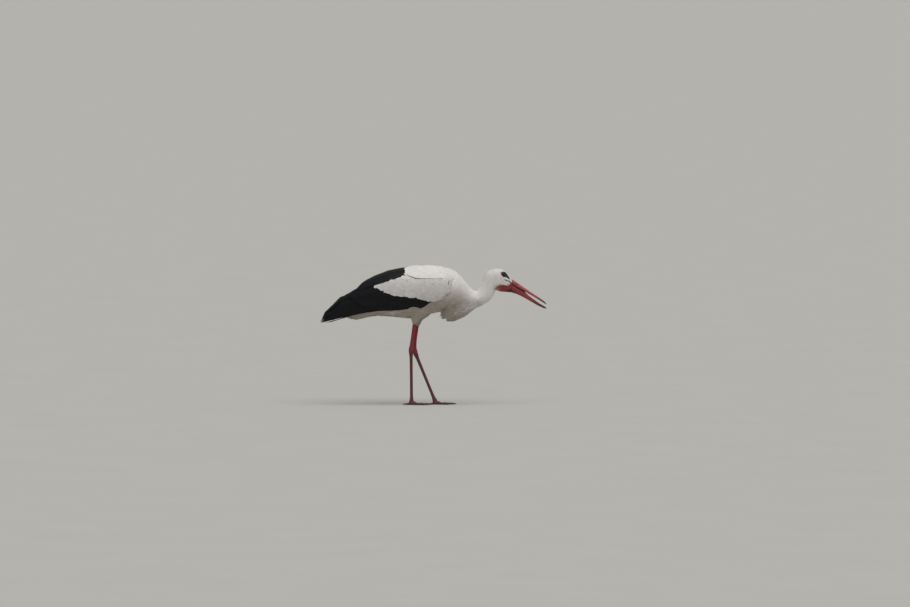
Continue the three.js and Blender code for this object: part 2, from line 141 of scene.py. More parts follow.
# How near to the middle of the back the wing comes: x, y.
WING_INNER = np.array([
    [90, 52], [50, 38], [0, 29], [-60, 22], [-110, 12], [-150, 3], [-200, 1], [-330, 0.7],
    [-490, 0.7],
])
SCAPULAR_LINE = np.array([
    [110, 518], [34, 521], [-20, 525], [-70, 526], [-119, 538], [-155, 524], [-196, 506],
    [-230, 494], [-257, 485], [-290, 470], [-306, 462],
])
COVERT_LINE = np.array([
    [80, 462], [40, 441], [10, 434], [-24, 431], [-60, 444], [-114, 450], [-170, 456],
    [-206, 467], [-235, 486], [-253, 487],
])
BLACK_UPPER = np.array([
    [-116, 640], [-116, 539], [-155, 524], [-196, 506], [-230, 494], [-257, 485], [-290, 470],
    [-330, 455], [-330, 640],
])
BLACK_LOWER = np.array([
    [6, 436], [-24, 433], [-60, 446], [-114, 452], [-170, 458], [-206, 469], [-235, 488],
    [-257, 489], [-300, 475], [-330, 640], [-500, 640], [-500, 330], [-463, 335], [-375, 366],
    [-300, 392], [-190, 398], [-90, 411], [-60, 406], [-34, 411], [-10, 426],
])
# The tail's sections: x, z, half width, arch and fall of the edges.
TAIL = np.array([
    [-236, 428, 18, 5, 2],
    [-280, 409, 26, 5, 4],
    [-330, 383, 30, 4, 6],
    [-380, 363, 30, 3.4, 6],
    [-425, 348, 26, 2.6, 4],
    [-454, 339, 20, 2, 3],
    [-462, 337, 9, 1.5, 1],
])
# The bill's two halves: x and z of the ridge, x and z of the cutting edge, half width there.
BILL_UPPER = np.array([
    [322.5, 517, 321.9, 499, 12.5],
    [345, 502, 340, 486.5, 11],
    [376, 481, 370, 470, 9],
    [410, 458.5, 405, 449.5, 7],
    [440, 438, 436, 431, 5],
    [459, 423.5, 457, 417.5, 3],
    [466.4, 414, 466, 412.6, 0.9],
])
BILL_LOWER = np.array([
    [320.6, 462, 321.7, 493.5, 12.5],
    [343, 455, 346, 478, 10.8],
    [370, 442.5, 374.5, 461, 8.6],
    [399, 426, 403.5, 441, 6.6],
    [430, 408.5, 433, 419.5, 4.6],
    [455, 397, 456, 405.5, 2.6],
    [465, 395, 465, 400, 0.9],
])
CHEEK_LINE = np.array([
    [240, 468], [252, 476], [262, 486], [276, 494], [294, 493], [309, 490.5], [317, 498],
    [335, 501],
])
EYE_PATCH = np.array([
    [277.5, 542.5], [285, 546.5], [294, 547], [303, 541.5], [310, 531], [316, 521],
    [321, 512.5], [317, 511], [310, 517], [303, 522], [295, 523], [287, 526], [282, 533],
])
GAPE_STREAK = np.array([[320, 503.5], [311, 506.5], [300, 511]])

# The legs: side, ankle and foot.
LEGS = {
    "right": (-1, np.array([-89.0, -26, 224]), np.array([-87.0, -8, 0])),
    "left": (1, np.array([-72.0, 32, 212]), np.array([11.0, 28, 0])),
}
TARSUS_LENGTH = 215
SOLE_JOINT_HEIGHT = 10
# Sections from the ankle: x, y (for the right leg) and z, radius across, and fore and aft. The
# tarsus has its share of the way down in place of x, y and z.
THIGH = np.array([
    [48, -18, 198, 32, 50],
    [34, -17, 172, 31, 42],
    [23, -14, 150, 25, 30],
    [18.5, -11, 133, 17, 19.5],
    [16.5, -9, 120, 11.5, 13],
    [15.5, -8.5, 112, 8.8, 9.6],
    [15, -8.5, 103, 7.3, 8.4],
])
# How much of the thigh is plumage.
THIGH_COAT = [[9, 12], [9, 12], [8, 11], [6, 8], [3, 5], [1, 1.5], [0.5, 0.5]]
SHANK = np.array([
    [17, -9.5, 132, 6.6, 8.2],
    [16, -9, 120, 6.6, 8.2],
    [12, -6.5, 90, 6.4, 7.8],
    [6, -3, 50, 6.2, 7.2],
    [2, -1, 20, 6.6, 8],
    [0.5, 0, 7, 8.4, 10],
    [0, 0, -3, 8.3, 9.7],
])
TARSUS = np.array([
    [-0.015, 8, 9.4],
    [0.04, 8.1, 9.3],
    [0.09, 6.4, 7.6],
    [0.18, 5.4, 6.5],
    [0.5, 5.1, 6.1],
    [0.82, 5.3, 6.2],
    [0.9, 5.8, 6.8],
    [0.95, 7.2, 8.3],
    [0.985, 8.7, 9.8],
    [1, 8, 9],
])
# Half sizes of the ball of the foot.
FOOT_BALL = np.array([12.2, 10.6, 9.2])
FOOT_BALL_HEIGHT = 7.5
# Name, heading from straight ahead, length, root radius, tip radius, pads, claw length.
TOES = [
    ("hallux", -165, 30, 4.3, 3.2, 1, 9),
    ("inner_toe", -33, 60, 5, 3.5, 2, 10),
    ("middle_toe", 2, 76, 5.3, 3.7, 3, 11),
    ("outer_toe", 35, 66, 4.9, 3.4, 4, 10),
]

# The eye, which the solids and these sizes both have, says how the frame lies.
lo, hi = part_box("eye_left")
SHIFT = np.array([(lo[0] + hi[0]) / 2 - EYE[0] * MM, (lo[1] + hi[1]) / 2 - EYE[1] * MM, 0.0])
random = np.random.default_rng(41)


# ---------- arithmetic ----------
def unit(a):
    return a / np.maximum(np.linalg.norm(a, axis=-1, keepdims=True), 1e-9)


def smoothstep(low, high, x):
    t = np.clip((x - low) / (high - low), 0, 1)
    return t * t * (3 - 2 * t)


def spline(rows, places):
    """Rows at the given places along them, on a smooth run through them all."""
    rows = np.asarray(rows, float)
    padded = np.vstack([2 * rows[0] - rows[1], rows, 2 * rows[-1] - rows[-2]])
    i = np.clip(np.floor(places).astype(int), 0, len(rows) - 2)
    f = (np.asarray(places) - i)[:, None]
    a, b, c, d = (padded[i + k] for k in range(4))
    return 0.5 * (
        2 * b + (c - a) * f + (2 * a - 5 * b + 4 * c - d) * f**2 + (3 * b - a - 3 * c + d) * f**3
    )


def inside(outline, x, z):
    """Whether side points lie inside an outline."""
    found = np.zeros(np.shape(x), bool)
    for (x0, z0), (x1, z1) in zip(outline, np.roll(outline, -1, 0)):
        if z0 == z1:
            continue
        crosses = (z0 > z) != (z1 > z)
        found ^= crosses & (x < (x1 - x0) * (z - z0) / (z1 - z0) + x0)
    return found


def from_line(line, x, z):
    """Distance of side points from a broken line."""
    best = np.full(np.shape(x), 1e9)
    for a, b in zip(line[:-1], line[1:]):
        d = b - a
        t = np.clip(((x - a[0]) * d[0] + (z - a[1]) * d[1]) / (d @ d), 0, 1)
        best = np.minimum(best, np.hypot(x - a[0] - t * d[0], z - a[1] - t * d[1]))
    return best


def height_at(table, x, column=1):
    """A column of a table at x, by default a side line's z; x may fall from row to row."""
    order = np.argsort(table[:, 0])
    return np.interp(x, table[order, 0], table[order, column])


def wing_section(x):
    """The folded wing's top, bottom and half width at x."""
    return [height_at(WING, x, column) for column in (1, 2, 3)]


def power(value, exponent):
    return np.sign(value) * np.abs(value) ** exponent


def mix(a, b, share):
    """Rows from a to b by a share for each row."""
    return a + (b - a) * share[:, None]


def bell(x, middle, width):
    return np.exp(-((x - middle) / width) ** 2)


# ---------- surfaces ----------
BRINK = 1.001  # how far short of the last row a place is held


class Surface:
    """A sheet of points (along, round, 3) that feathers are laid on; outward is where its normals
    point, by default away from the middle of its rows."""

    def __init__(self, points, closed, outward=None):
        self.points = points
        self.closed = closed
        self.along = np.gradient(points, axis=0)
        if closed:
            self.round = (np.roll(points, -1, 1) - np.roll(points, 1, 1)) / 2
        else:
            self.round = np.gradient(points, axis=1)
        normal = unit(np.cross(self.round, self.along))
        if outward is None:
            middle = points.mean(1, keepdims=True)
            outward = points - middle if closed else (points - middle * [0, 0, 1]) * [0, 1, 1]
        self.normal = normal * np.sign((normal * outward).sum())

    def at(self, u, v):
        rows, columns = self.points.shape[:2]
        u = np.clip(u, 0, rows - BRINK)
        v = v % columns if self.closed else np.clip(v, 0, columns - BRINK)
        i, j = np.floor(u).astype(int), np.floor(v).astype(int)
        j %= columns
        fu, fv = (u - i)[..., None], (v - np.floor(v))[..., None]
        after = (j + 1) % columns

        def mixed(a):
            near = a[i, j] * (1 - fv) + a[i, after] * fv
            far = a[i + 1, j] * (1 - fv) + a[i + 1, after] * fv
            return near * (1 - fu) + far * fu

        return mixed(self.points), unit(mixed(self.normal)), mixed(self.along), mixed(self.round)


def oval_rings(rows, sides, grow=0.0):
    """Rings (rows, sides, 3) of oval sections; grow moves each section in or out."""
    angle = np.arange(sides) * 2 * np.pi / sides
    tx, tz, bx, bz, half, lean, roundness = rows.T[:7, :, None]
    grow = np.broadcast_to(grow, len(rows))[:, None]
    up = power(np.sin(angle), 2 / roundness)
    across = power(np.cos(angle), 2 / roundness) * (1 - lean * up)
    up = up / 2 * (1 + 2 * grow / np.hypot(tx - bx, tz - bz))
    return np.stack([(tx + bx) / 2 + (tx - bx) * up, across * (half + grow),
                     (tz + bz) / 2 + (tz - bz) * up], -1)


def limb_rings(rows, sides, across=np.array([0, 1, 0]), floor=-1e9):
    """Rings of sections square to the path, through rows of x y z, radius across, fore and aft."""
    centres = rows[:, :3]
    along = np.gradient(centres, axis=0)
    fore = unit(np.cross(along, across))
    angle = (np.arange(sides) + 0.5) * 2 * np.pi / sides
    rings = (centres[:, None] + across * np.cos(angle)[:, None] * rows[:, None, 3:4]
             + fore[:, None] * np.sin(angle)[:, None] * rows[:, None, 4:5])
    rings[..., 2] = np.maximum(rings[..., 2], floor)
    return rings


def dense(rows, per):
    return spline(rows, np.linspace(0, len(rows) - 1, (len(rows) - 1) * per + 1))


# ---------- meshes ----------
def faces_out(points, quads):
    """Whether quads bound a solid with their normals outward."""
    a, b, c, d = (points[quads[:, i]] for i in range(4))
    return (a * np.cross(b, c)).sum() + (a * np.cross(c, d)).sum() >= 0


def loft(rings):
    """Points, and quads and caps, of the closed solid through rings."""
    count, sides = rings.shape[:2]
    base = np.arange(count * sides).reshape(count, sides)
    after = np.roll(base, -1, 1)
    quads = np.stack([base[:-1], after[:-1], after[1:], base[1:]], -1).reshape(-1, 4)
    first, last = count * sides, count * sides + 1
    caps = np.vstack([
        np.stack([np.full(sides, first), after[0], base[0]], -1),
        np.stack([np.full(sides, last), base[-1], after[-1]], -1),
    ])
    points = np.vstack([rings.reshape(-1, 3), rings[0].mean(0), rings[-1].mean(0)])
    if not faces_out(points, quads):
        quads, caps = quads[:, ::-1], caps[:, ::-1]
    return points, [quads, caps]


def mesh_object(name, points, faces):
    """An object from points in millimetres and arrays of faces with 3 or 4 corners."""
    mesh = bpy.data.meshes.new(name)
    mesh.vertices.add(len(points))
    mesh.vertices.foreach_set("co", (points * MM + SHIFT).astype(np.float32).ravel())
    corners = np.concatenate([f.ravel() for f in faces]).astype(np.int32)
    totals = np.concatenate([np.full(len(f), f.shape[1]) for f in faces])
    mesh.loops.add(len(corners))
    mesh.loops.foreach_set("vertex_index", corners)
    mesh.polygons.add(len(totals))
    starts = np.concatenate([[0], np.cumsum(totals)[:-1]]).astype(np.int32)
    mesh.polygons.foreach_set("loop_start", starts)
    mesh.polygons.foreach_set("use_smooth", np.ones(len(totals), bool))
    mesh.update(calc_edges=True)
    obj = bpy.data.objects.new(name, mesh)
    bpy.context.scene.collection.objects.link(obj)
    return obj


def joined(name, lofts):
    """One object from several lofts."""
    starts = np.cumsum([0] + [len(points) for points, _ in lofts[:-1]])
    faces = [np.vstack([faces[i] + start for (_, faces), start in zip(lofts, starts)])
             for i in (0, 1)]
    return mesh_object(name, np.vstack([points for points, _ in lofts]), faces)


def vectors(obj, what):
    """A vector of each point: "co" for its place, "normal" for its normal."""
    flat = np.empty(len(obj.data.vertices) * 3, np.float32)
    obj.data.vertices.foreach_get(what, flat)
    return flat.reshape(-1, 3).astype(float)


def read_points(obj):
    return (vectors(obj, "co") - SHIFT) / MM


def write_points(obj, points):
    flat = (points * MM + SHIFT).astype(np.float32).ravel()
    obj.data.vertices.foreach_set("co", flat)
    obj.data.update()


def paint(obj, colours):
    """Sets the colour of each point, which the materials read as Plumage."""
    layer = obj.data.color_attributes.new(name="Plumage", type="FLOAT_COLOR", domain="POINT")
    rgba = np.ones((len(colours), 4), np.float32)
    rgba[:, :3] = np.clip(colours, 0, 1)
    layer.data.foreach_set("color", rgba.ravel())


def applied(obj):
    """Makes an object's modifiers real."""
    graph = bpy.context.evaluated_depsgraph_get()
    mesh = bpy.data.meshes.new_from_object(obj.evaluated_get(graph))
    old = obj.data
    obj.modifiers.clear()
    obj.data = mesh
    bpy.data.meshes.remove(old)
    return obj


def union(obj, others):
    for other in others:
        cut = obj.modifiers.new("join", "BOOLEAN")
        cut.operation = "UNION"
        cut.solver = "MANIFOLD"
        cut.object = other
        applied(obj)
        mesh = other.data
        bpy.data.objects.remove(other)
        bpy.data.meshes.remove(mesh)


def piece(obj, material, replaced=()):
    obj.data.materials.clear()
    obj.data.materials.append(material)
    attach(obj, "root")
    if replaced:
        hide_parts(*replaced)


# ---------- feathers ----------
BAKE_PATCH = 0.003  # a feather's size on OFBake


def stations(count):
    return 1 - (1 - np.linspace(0, 1, count)) ** 1.5


def outline(t, point):
    """Half width along feathers as a share: point 2 is a lancet, 8 a round tip."""
    grown = np.clip(0.35 + 2.4 * t, 0, 1)
    return np.maximum(grown * np.maximum(1 - t**point, 0) ** 0.55, 0.04)


class Coat:
    """Feathers gathered into one mesh. A pair's coats share OFBake, the right side's first."""

    def __init__(self, surface, side=0):
        self.surface = surface
        self.side = side
        self.parts = []
        self.faces = []
        self.count = 0

    def add(self, u, v, length, half, rise, colour, point, camber, thick, shade=(0.86, 1.0),
            free=0.0):
        """Adds feathers whose paths are u, v (N, K) on the surface. rise (N, K) is their height
        over it, half (N) their half width, colour (N, 3) theirs, free (N, K, 3) an added bend."""
        n, k = u.shape
        t = stations(k)
        length, half, point, camber = (
            np.broadcast_to(value, n)[:, None] for value in (length, half, point, camber))
        rows, columns = self.surface.points.shape[:2]
        middle, normal, along, over = self.surface.at(u, v)
        beyond = u - np.clip(u, 0, rows - BRINK)
        bend = along * beyond[..., None] + free
        middle = middle + bend
        side = unit(np.cross(unit(np.gradient(middle, axis=1)), normal))
        width = half * outline(t, point)
        du = (side * along).sum(-1) / (along**2).sum(-1)
        dv = (side * over).sum(-1) / (over**2).sum(-1)
        edges = []
        for way in (-width, width):
            edge, lean, _, _ = self.surface.at(u + way * du, v + way * dv)
            flat = middle + side * way[..., None]
            near = np.linalg.norm(edge + bend - flat, axis=-1) < 0.8 * width + 1
            edge = np.where(near[..., None], edge + bend, flat)
            edges.append(edge + unit(lean) * rise[..., None])
        top = rise + camber * width
        crest = middle + normal * top[..., None]
        under = middle + normal * (top - thick * (1 - 0.6 * t))[..., None]
        base = self.count + np.arange(n * k * 4).reshape(n, k, 4)
        after = np.roll(base, -1, 2)
        walls = np.stack([base[:, :-1], after[:, :-1], after[:, 1:], base[:, 1:]], -1)
        self.faces += [walls[:, :, j].reshape(-1, 4) for j in range(4)]
        self.faces += [base[:, 0, [0, 3, 2, 1]], base[:, -1]]
        tone = (shade[0] + (shade[1] - shade[0]) * t)[:, None, None]
        colours = np.broadcast_to(colour, (n, 3))[:, None, None] * tone
        across = np.array([-0.5, 0, 0.5, 0])
        first, wide = (0.5 if self.side > 0 else 0), (0.5 if self.side else 1)
        bake, vane = np.empty((2, n, k, 4, 2))
        bake[..., 0] = first + wide * (0.02 + 0.96 * np.clip(u[:, :1, None] / (rows - 1), 0, 1))
        bake[..., 0] += BAKE_PATCH * (t[:, None] - 0.5)
        bake[..., 1] = 0.02 + 0.96 * (v[:, :1, None] / columns % 1) + BAKE_PATCH * across
        vane[..., 0] = length[..., None] * t[:, None]
        vane[..., 1] = width[..., None] * across * 2
        ends = np.zeros((n, k, 4), bool)
        ends[:, [0, -1]] = True
        self.parts.append((
            np.stack([edges[0], crest, edges[1], under], 2).reshape(-1, 3),
            np.broadcast_to(colours, (n, k, 4, 3)).reshape(-1, 3),
            bake.reshape(-1, 2), vane.reshape(-1, 2) * MM, ends.ravel()))
        self.count += n * k * 4

    def build(self, name, material, slot, replaced=()):
        points, colours, bake, vane, ends = map(np.concatenate, zip(*self.parts))
        obj = mesh_object(name, points, [np.vstack(self.faces)])
        mesh = obj.data
        paint(obj, colours)
        corners = np.empty(len(mesh.loops), np.int32)
        mesh.loops.foreach_get("vertex_index", corners)
        for label, values in (("OFBake", bake), ("Vane", vane)):
            layer = mesh.uv_layers.new(name=label)
            layer.uv.foreach_set("vector", values[corners].astype(np.float32).ravel())
        # The vane's two edges and its caps' rims are sharp, so that its upper face shades alone.
        pair = np.empty(len(mesh.edges) * 2, np.int32)
        mesh.edges.foreach_get("vertices", pair)
        a, b = pair.reshape(-1, 2).T
        sharp = (a // 4 == b // 4) & ends[a] | (a % 4 == b % 4) & (a % 2 == 0)
        mesh.attributes.new("sharp_edge", "BOOLEAN", "EDGE").data.foreach_set("value", sharp)
        piece(obj, material, replaced)


def traced(surface, u, v, length, count, heading, way):
    """Paths (N, K) over a surface from their roots; heading turns them round the body."""
    us, vs = [u], [v]
    for step in np.diff(stations(count)):
        _, _, along, over = surface.at(us[-1], vs[-1])
        us.append(us[-1] + way * step * length * np.cos(heading) / np.linalg.norm(along, axis=-1))
        vs.append(vs[-1] + step * length * np.sin(heading) / np.linalg.norm(over, axis=-1))
    return np.stack(us, 1), np.stack(vs, 1)


def scattered(surface, start, stop, spacing):
    """Staggered rows of roots from start to stop; spacing(u) gives mm along and round."""
    us, vs, u, k = [], [], start, 0
    rows, columns = surface.points.shape[:2]
    way = np.sign(stop - start)
    while (stop - u) * way > 0:
        row = surface.points[int(round(np.clip(u, 0, rows - 1)))]
        row = np.vstack([row, row[:1]]) if surface.closed else row
        run = np.append(0, np.cumsum(np.linalg.norm(np.diff(row, axis=0), axis=1)))
        along_gap, round_gap = spacing(u)
        n = max(int(run[-1] / round_gap), 1)
        place = (np.arange(n) + 0.5 * (k % 2) + random.uniform(-0.3, 0.3, n)) / n * run[-1]
        vs.append(np.interp(place % run[-1], run, np.arange(len(run))) % columns)
        pace = np.linalg.norm(surface.along[int(np.clip(u, 0, rows - 1))], axis=-1).mean()
        step = along_gap / pace
        us.append(u + random.uniform(-0.35, 0.35, n) * step)
        u += way * step
        k += 1
    return np.concatenate(us), np.concatenate(vs)


# ---------- markings ----------
def bare_face(x, z):
    """Whether the head is bare at side points: the eye patch, the bill's root and the throat."""
    cheek = height_at(CHEEK_LINE, x)
    throat = (x > 259 + 2.5 * np.sin(0.9 * z)) & (z < cheek - 1.5) & (z > 452)
    gape = (x > 317) & (z < 503) & (z > 488)
    return inside(EYE_PATCH, x, z) | throat | gape | (x > 321.8)


def marking(p, winged=True):
    """The bird's colour at points in millimetres, the same for the skin and for its plumage.
    Under the wing the body itself stays white, so its own feathers are not winged."""
    x, y, z = p.T
    # Painted shade, with some soiling: the white darkens low on the breast and belly, not the
    # neck.
    low = smoothstep(508, 412, z) * smoothstep(215, 110, x)
    # A tuft on the flank below the wing shows pale: painted light on its bulge, and less soiling.
    lit_and_clean_tuft = np.exp(-(((x + 130) / 20) ** 2 + ((z - 379 - 0.25 * (x + 130)) / 9) ** 2))
    colour = mix(WHITE, SOIL_AND_SHADE, low * (1 - 0.75 * lit_and_clean_tuft))
    if winged:
        wing = (np.abs(y) > 6) & (inside(BLACK_LOWER, x, z) | inside(BLACK_UPPER, x, z))
        colour[wing & (x < 20)] = BLACK
    # The bare throat: paler behind, black along the chin.
    cheek = height_at(CHEEK_LINE, x)
    red = smoothstep(254, 264, x) * smoothstep(cheek + 1.5, cheek - 3, z) * smoothstep(458, 466, z)
    pale = smoothstep(288, 260, x) * (0.3 + 0.7 * smoothstep(484, 470, z))
    colour = mix(colour, mix(BARE_RED, PALE_THROAT, pale), red)
    peak = 474 + 6 * smoothstep(303, 318, x) + 1.6 * np.sin(0.55 * x) + 1.1 * np.sin(0.31 * x + 2)
    chin = smoothstep(297, 306, x) * smoothstep(peak, peak - 7, z) * (z > 440)
    colour = mix(colour, BARE_BLACK, chin)
    colour[inside(EYE_PATCH, x, z)] = BARE_BLACK
    colour[(from_line(GAPE_STREAK, x, z) < 1.9) & (x > 290)] = BARE_BLACK
    colour[(x > 317) & (z > 488) & (z < 503)] = BARE_RED
    # The mouth's lining, and the skin inside the bill, dark red with painted shade inside the
    # mouth.
    lining = (x > 321.5) & (z > 462) & (z < 503) & (np.abs(y) < 12)
    colour[lining | (x > 328)] = SHADED_MOUTH
    return colour


# ---------- the skin ----------
BODY_ROWS = np.vstack([BODY, FACE_END])
LEG_VOXEL = 0.0008  # in metres


def body_skin():
    places = np.concatenate([np.linspace(0, 18, 73)[:-1], np.linspace(18, 28, 161)])
    rows = spline(BODY_ROWS, places)
    return joined("skin", [loft(oval_rings(rows, 168, -rows[:, 7]))])


def head_detail(points, normals):
    """Sinks the eye sockets and the bare patches, and folds the bare throat."""
    x, y, z = points.T
    away = np.hypot(x - EYE[0], z - EYE[2])
    socket = smoothstep(7.4, 5.2, away) * 5.5
    brow = (x > 215) * bell(away, 10.5, 2.6) * 0.7 * smoothstep(-2, 6, z - EYE[2])
    patch = inside(EYE_PATCH, x, z) * 0.35
    throat = (x > 250) & (z < height_at(CHEEK_LINE, x))
    folds = throat * 0.3 * (np.sin((z + 0.25 * x) * 2 * np.pi / 3.4) - 0.6)
    gape = (x > 290) * bell(from_line(GAPE_STREAK, x, z), 0, 1.2) * 0.9
    moved = points + normals * (folds - patch - gape + brow)[:, None]
    moved[:, 1] -= np.sign(y) * socket
    return moved


def lid(side):
    """The rim of skin round an eye."""
    count, sides = 72, 14
    a = np.arange(count) * 2 * np.pi / count
    wide, high = LID_OPENING
    reach = EYE_RADIUS + 0.35
    # The opening narrows to a corner before and behind, and tilts down towards the bill.
    across = wide * (np.cos(a) + 0.10 * power(np.cos(a), 7))
    upright = high * np.sin(a) * (1 - 0.22 * np.cos(a) ** 2)
    across, upright = across + 0.12 * upright, upright - 0.12 * across
    ring = np.stack([across, np.sqrt(reach**2 - across**2 - upright**2), upright], 1)
    out = unit(ring * [1, 0, 1])
    ring = ring + out * 0.4
    b = np.arange(sides) * 2 * np.pi / sides
    tube = (0.95 - 0.25 * np.abs(np.cos(a)) ** 3)[:, None, None]
    up = unit(ring)
    across = unit(np.cross(up, np.roll(ring, -1, 0) - np.roll(ring, 1, 0)))
    rings = ring[:, None] + tube * (
        np.cos(b)[None, :, None] * across[:, None] + np.sin(b)[None, :, None] * up[:, None]
    )
    rings[..., 1] *= side
    rings += EYE * [1, side, 1]
    base = np.arange(count * sides).reshape(count, sides)
    after = np.roll(base, -1, 1)
    quads = np.stack([base, after, np.roll(after, -1, 0), np.roll(base, -1, 0)], -1).reshape(-1, 4)
    points = rings.reshape(-1, 3)
    return mesh_object("lid", points, [quads if faces_out(points, quads) else quads[:, ::-1]])


def mouth():
    """The lining of the mouth, which closes the bill's halves together at their root."""
    rows = np.array([
        [312, 504, 312, 488, 11.5, 0, 2.4],
        [322, 499.3, 322, 492.7, 11.2, 0, 3],
        [335, 491, 335, 482.8, 9.8, 0, 3],
        [345, 484.8, 348, 476.4, 8.4, 0, 3],
        [357, 478.4, 361, 468.4, 7, 0, 3],
        [367, 472.4, 373, 460.6, 5.4, 0, 2.8],
        [376, 466.6, 385, 453, 3.8, 0, 2.6],
        [380, 461, 394, 446.4, 2.6, 0, 2.2],
        [387, 454.6, 400, 442.4, 1.3, 0, 2],
    ])
    return joined("mouth", [loft(oval_rings(dense(rows, 8), 48))])


def leg_rows(rows, side, ankle):
    rows = rows.copy()
    rows[:, 1] *= -side
    if side > 0:
        # The far leg's shank and thigh stand nearly behind the near ones.
        rows[:, 0] -= np.interp(rows[:, 2], [0, 20, 60, 110, 200], [0, 4.5, 8, 8.5, 8])
        rows[:, 4] -= np.interp(rows[:, 2], [118, 140, 200], [0, 4, 6])
    rows[:, :3] += ankle
    return rows


def tarsus_line(ankle, foot):
    down = foot + [0, 0, SOLE_JOINT_HEIGHT] - ankle
    return down * TARSUS_LENGTH / np.linalg.norm(down)


def toe_axes(heading, side):
    angle = math.radians(heading) * side
    ahead = np.array([math.cos(angle), math.sin(angle), 0])
    return ahead, np.array([-ahead[1], ahead[0], 0])


def toe_rows(toe, foot, side):
    _, heading, length, root, tip, pads, _ = toe
    ahead, _ = toe_axes(heading, side)
    share = np.linspace(0, 1, 14 * pads + 8)
    swell = 1 - 0.085 * np.cos(2 * np.pi * share * pads)
    radius = (root + (tip - root) * share) * swell
    radius *= (1 - 0.55 * smoothstep(0.95, 1, share)) * (1 + 0.4 * smoothstep(0.36, 0.1, share))
    at = foot + ahead * (share * length)[:, None]
    return np.column_stack([at[:, :2], radius * 0.86, radius, radius])


def leg_skin(side, ankle, foot):
    """The thigh's flesh, shank, tarsus, foot and toes of one leg, melted into one."""
    thigh = leg_rows(THIGH, side, ankle)
    thigh[:, 3:] = np.maximum(thigh[:, 3:] - THIGH_COAT, 6)
    rows = dense(TARSUS, 16)
    tarsus = np.column_stack([ankle + rows[:, :1] * tarsus_line(ankle, foot), rows[:, 1:]])
    polar = np.linspace(0.02, np.pi - 0.02, 24)
    wide, deep = FOOT_BALL[1:, None] * np.sin(polar)
    ball = np.column_stack([foot[0] - FOOT_BALL[0] * np.cos(polar), np.full(24, foot[1]),
                            np.full(24, FOOT_BALL_HEIGHT), wide, deep])
    rings = [limb_rings(dense(thigh, 8), 40),
             limb_rings(dense(leg_rows(SHANK, side, ankle), 12), 32),
             limb_rings(tarsus, 32), limb_rings(ball, 32, floor=0.0)]
    for toe in TOES:
        across = toe_axes(toe[1], side)[1]
        rings.append(limb_rings(toe_rows(toe, foot, side), 28, across, 0.0))
    # The webs between the roots of the front toes.
    for first, second, reach in ((1, 2, 19), (2, 3, 24)):
        a, b = (toe_axes(TOES[i][1], side)[0] for i in (first, second))
        rim = foot * [1, 1, 0] + [a * 4, a * reach, unit(a + b) * reach * 0.62, b * reach, b * 4]
        rings.append(np.array([rim + [0, 0, 0.3], rim + [0, 0, 4.2]]))
    obj = joined("leg", [loft(ring) for ring in rings])
    melt = obj.modifiers.new("melt", "REMESH")
    melt.mode = "VOXEL"
    melt.voxel_size = LEG_VOXEL
    soft = obj.modifiers.new("soft", "SMOOTH")
    soft.factor = 0.5
    soft.iterations = 4
    return applied(obj)


def leg_detail(points, normals):
    """Scales: small and six-sided on shank and tarsus, broad plates along the toes' tops."""
    moved = points.copy()
    moved[:, 2] = np.maximum(moved[:, 2], 0)
    colours = np.tile(TARSUS_RED, (len(points), 1))
    x, y, z = points.T
    for side, ankle, foot in LEGS.values():
        near = np.where(z < 20, x > -14, y > 3) == (side > 0)
        down = tarsus_line(ankle, foot)
        share = (points - ankle) @ down / (down @ down)
        on_tarsus = near & (share > -0.6) & (z < ankle[2] + 128)
        red = mix(SHANK_RED, TARSUS_RED, smoothstep(-0.05, 0.06, share))
        colours[on_tarsus] = red[on_tarsus]
        off = points - (ankle + share[:, None] * down)
        around = np.arctan2(off[:, 0], off[:, 1])
        along = share * TARSUS_LENGTH / 3.1
        row = np.floor(along)
        column = around * 6.5 / np.pi + 0.5 * (row % 2)
        gap = np.minimum(np.minimum(along - row, row + 1 - along),
                         np.minimum(column % 1, 1 - column % 1) * 0.9)
        bare = on_tarsus & (z > 16)
        groove = smoothstep(0.2, 0.0, gap)[bare, None] * 0.22
        moved[bare] -= normals[bare] * groove
        colours[bare] *= 1 - 1.3 * groove
        for toe in TOES:
            run, wide = ((points - foot) @ axis for axis in toe_axes(toe[1], side))
            mine = near & (run > 10) & (np.abs(wide) < 6) & (z < 14)
            top = smoothstep(0.2, 0.7, normals[:, 2])
            groove = smoothstep(0.25, 0.0, np.abs((run / 2.7) % 1 - 0.5)) * 0.3 * top
            groove = groove[mine, None]
            moved[mine] -= normals[mine] * groove
            colours[mine] = TARSUS_RED * 0.9 * (1 - 1.2 * groove)
    return moved, colours


def wing_flesh(side):
    """The arm and hand that the folded wing's feathers grow from."""
    x = np.linspace(58, -262, 60)
    top, bottom, half = wing_section(x)
    low = height_at(WING_LOWER, x) + 14
    angle = np.arange(72) * 2 * np.pi / 72
    middle, rise = (top + bottom) / 2, (top - bottom) / 2 - 9
    up = power(np.sin(angle), 2 / WING_POWER)
    across = power(np.cos(angle), 2 / WING_POWER)
    share = smoothstep(-262, -190, x)
    y = side * np.maximum(across * (half - 8)[:, None], 4)
    z = middle[:, None] + up * rise[:, None]
    z = np.maximum(z, np.minimum(low, middle + rise - 10)[:, None])
    y = y * (0.35 + 0.65 * share[:, None])
    rings = np.stack([np.broadcast_to(x[:, None], y.shape), y, z], -1)
    return joined("arm", [loft(rings)])


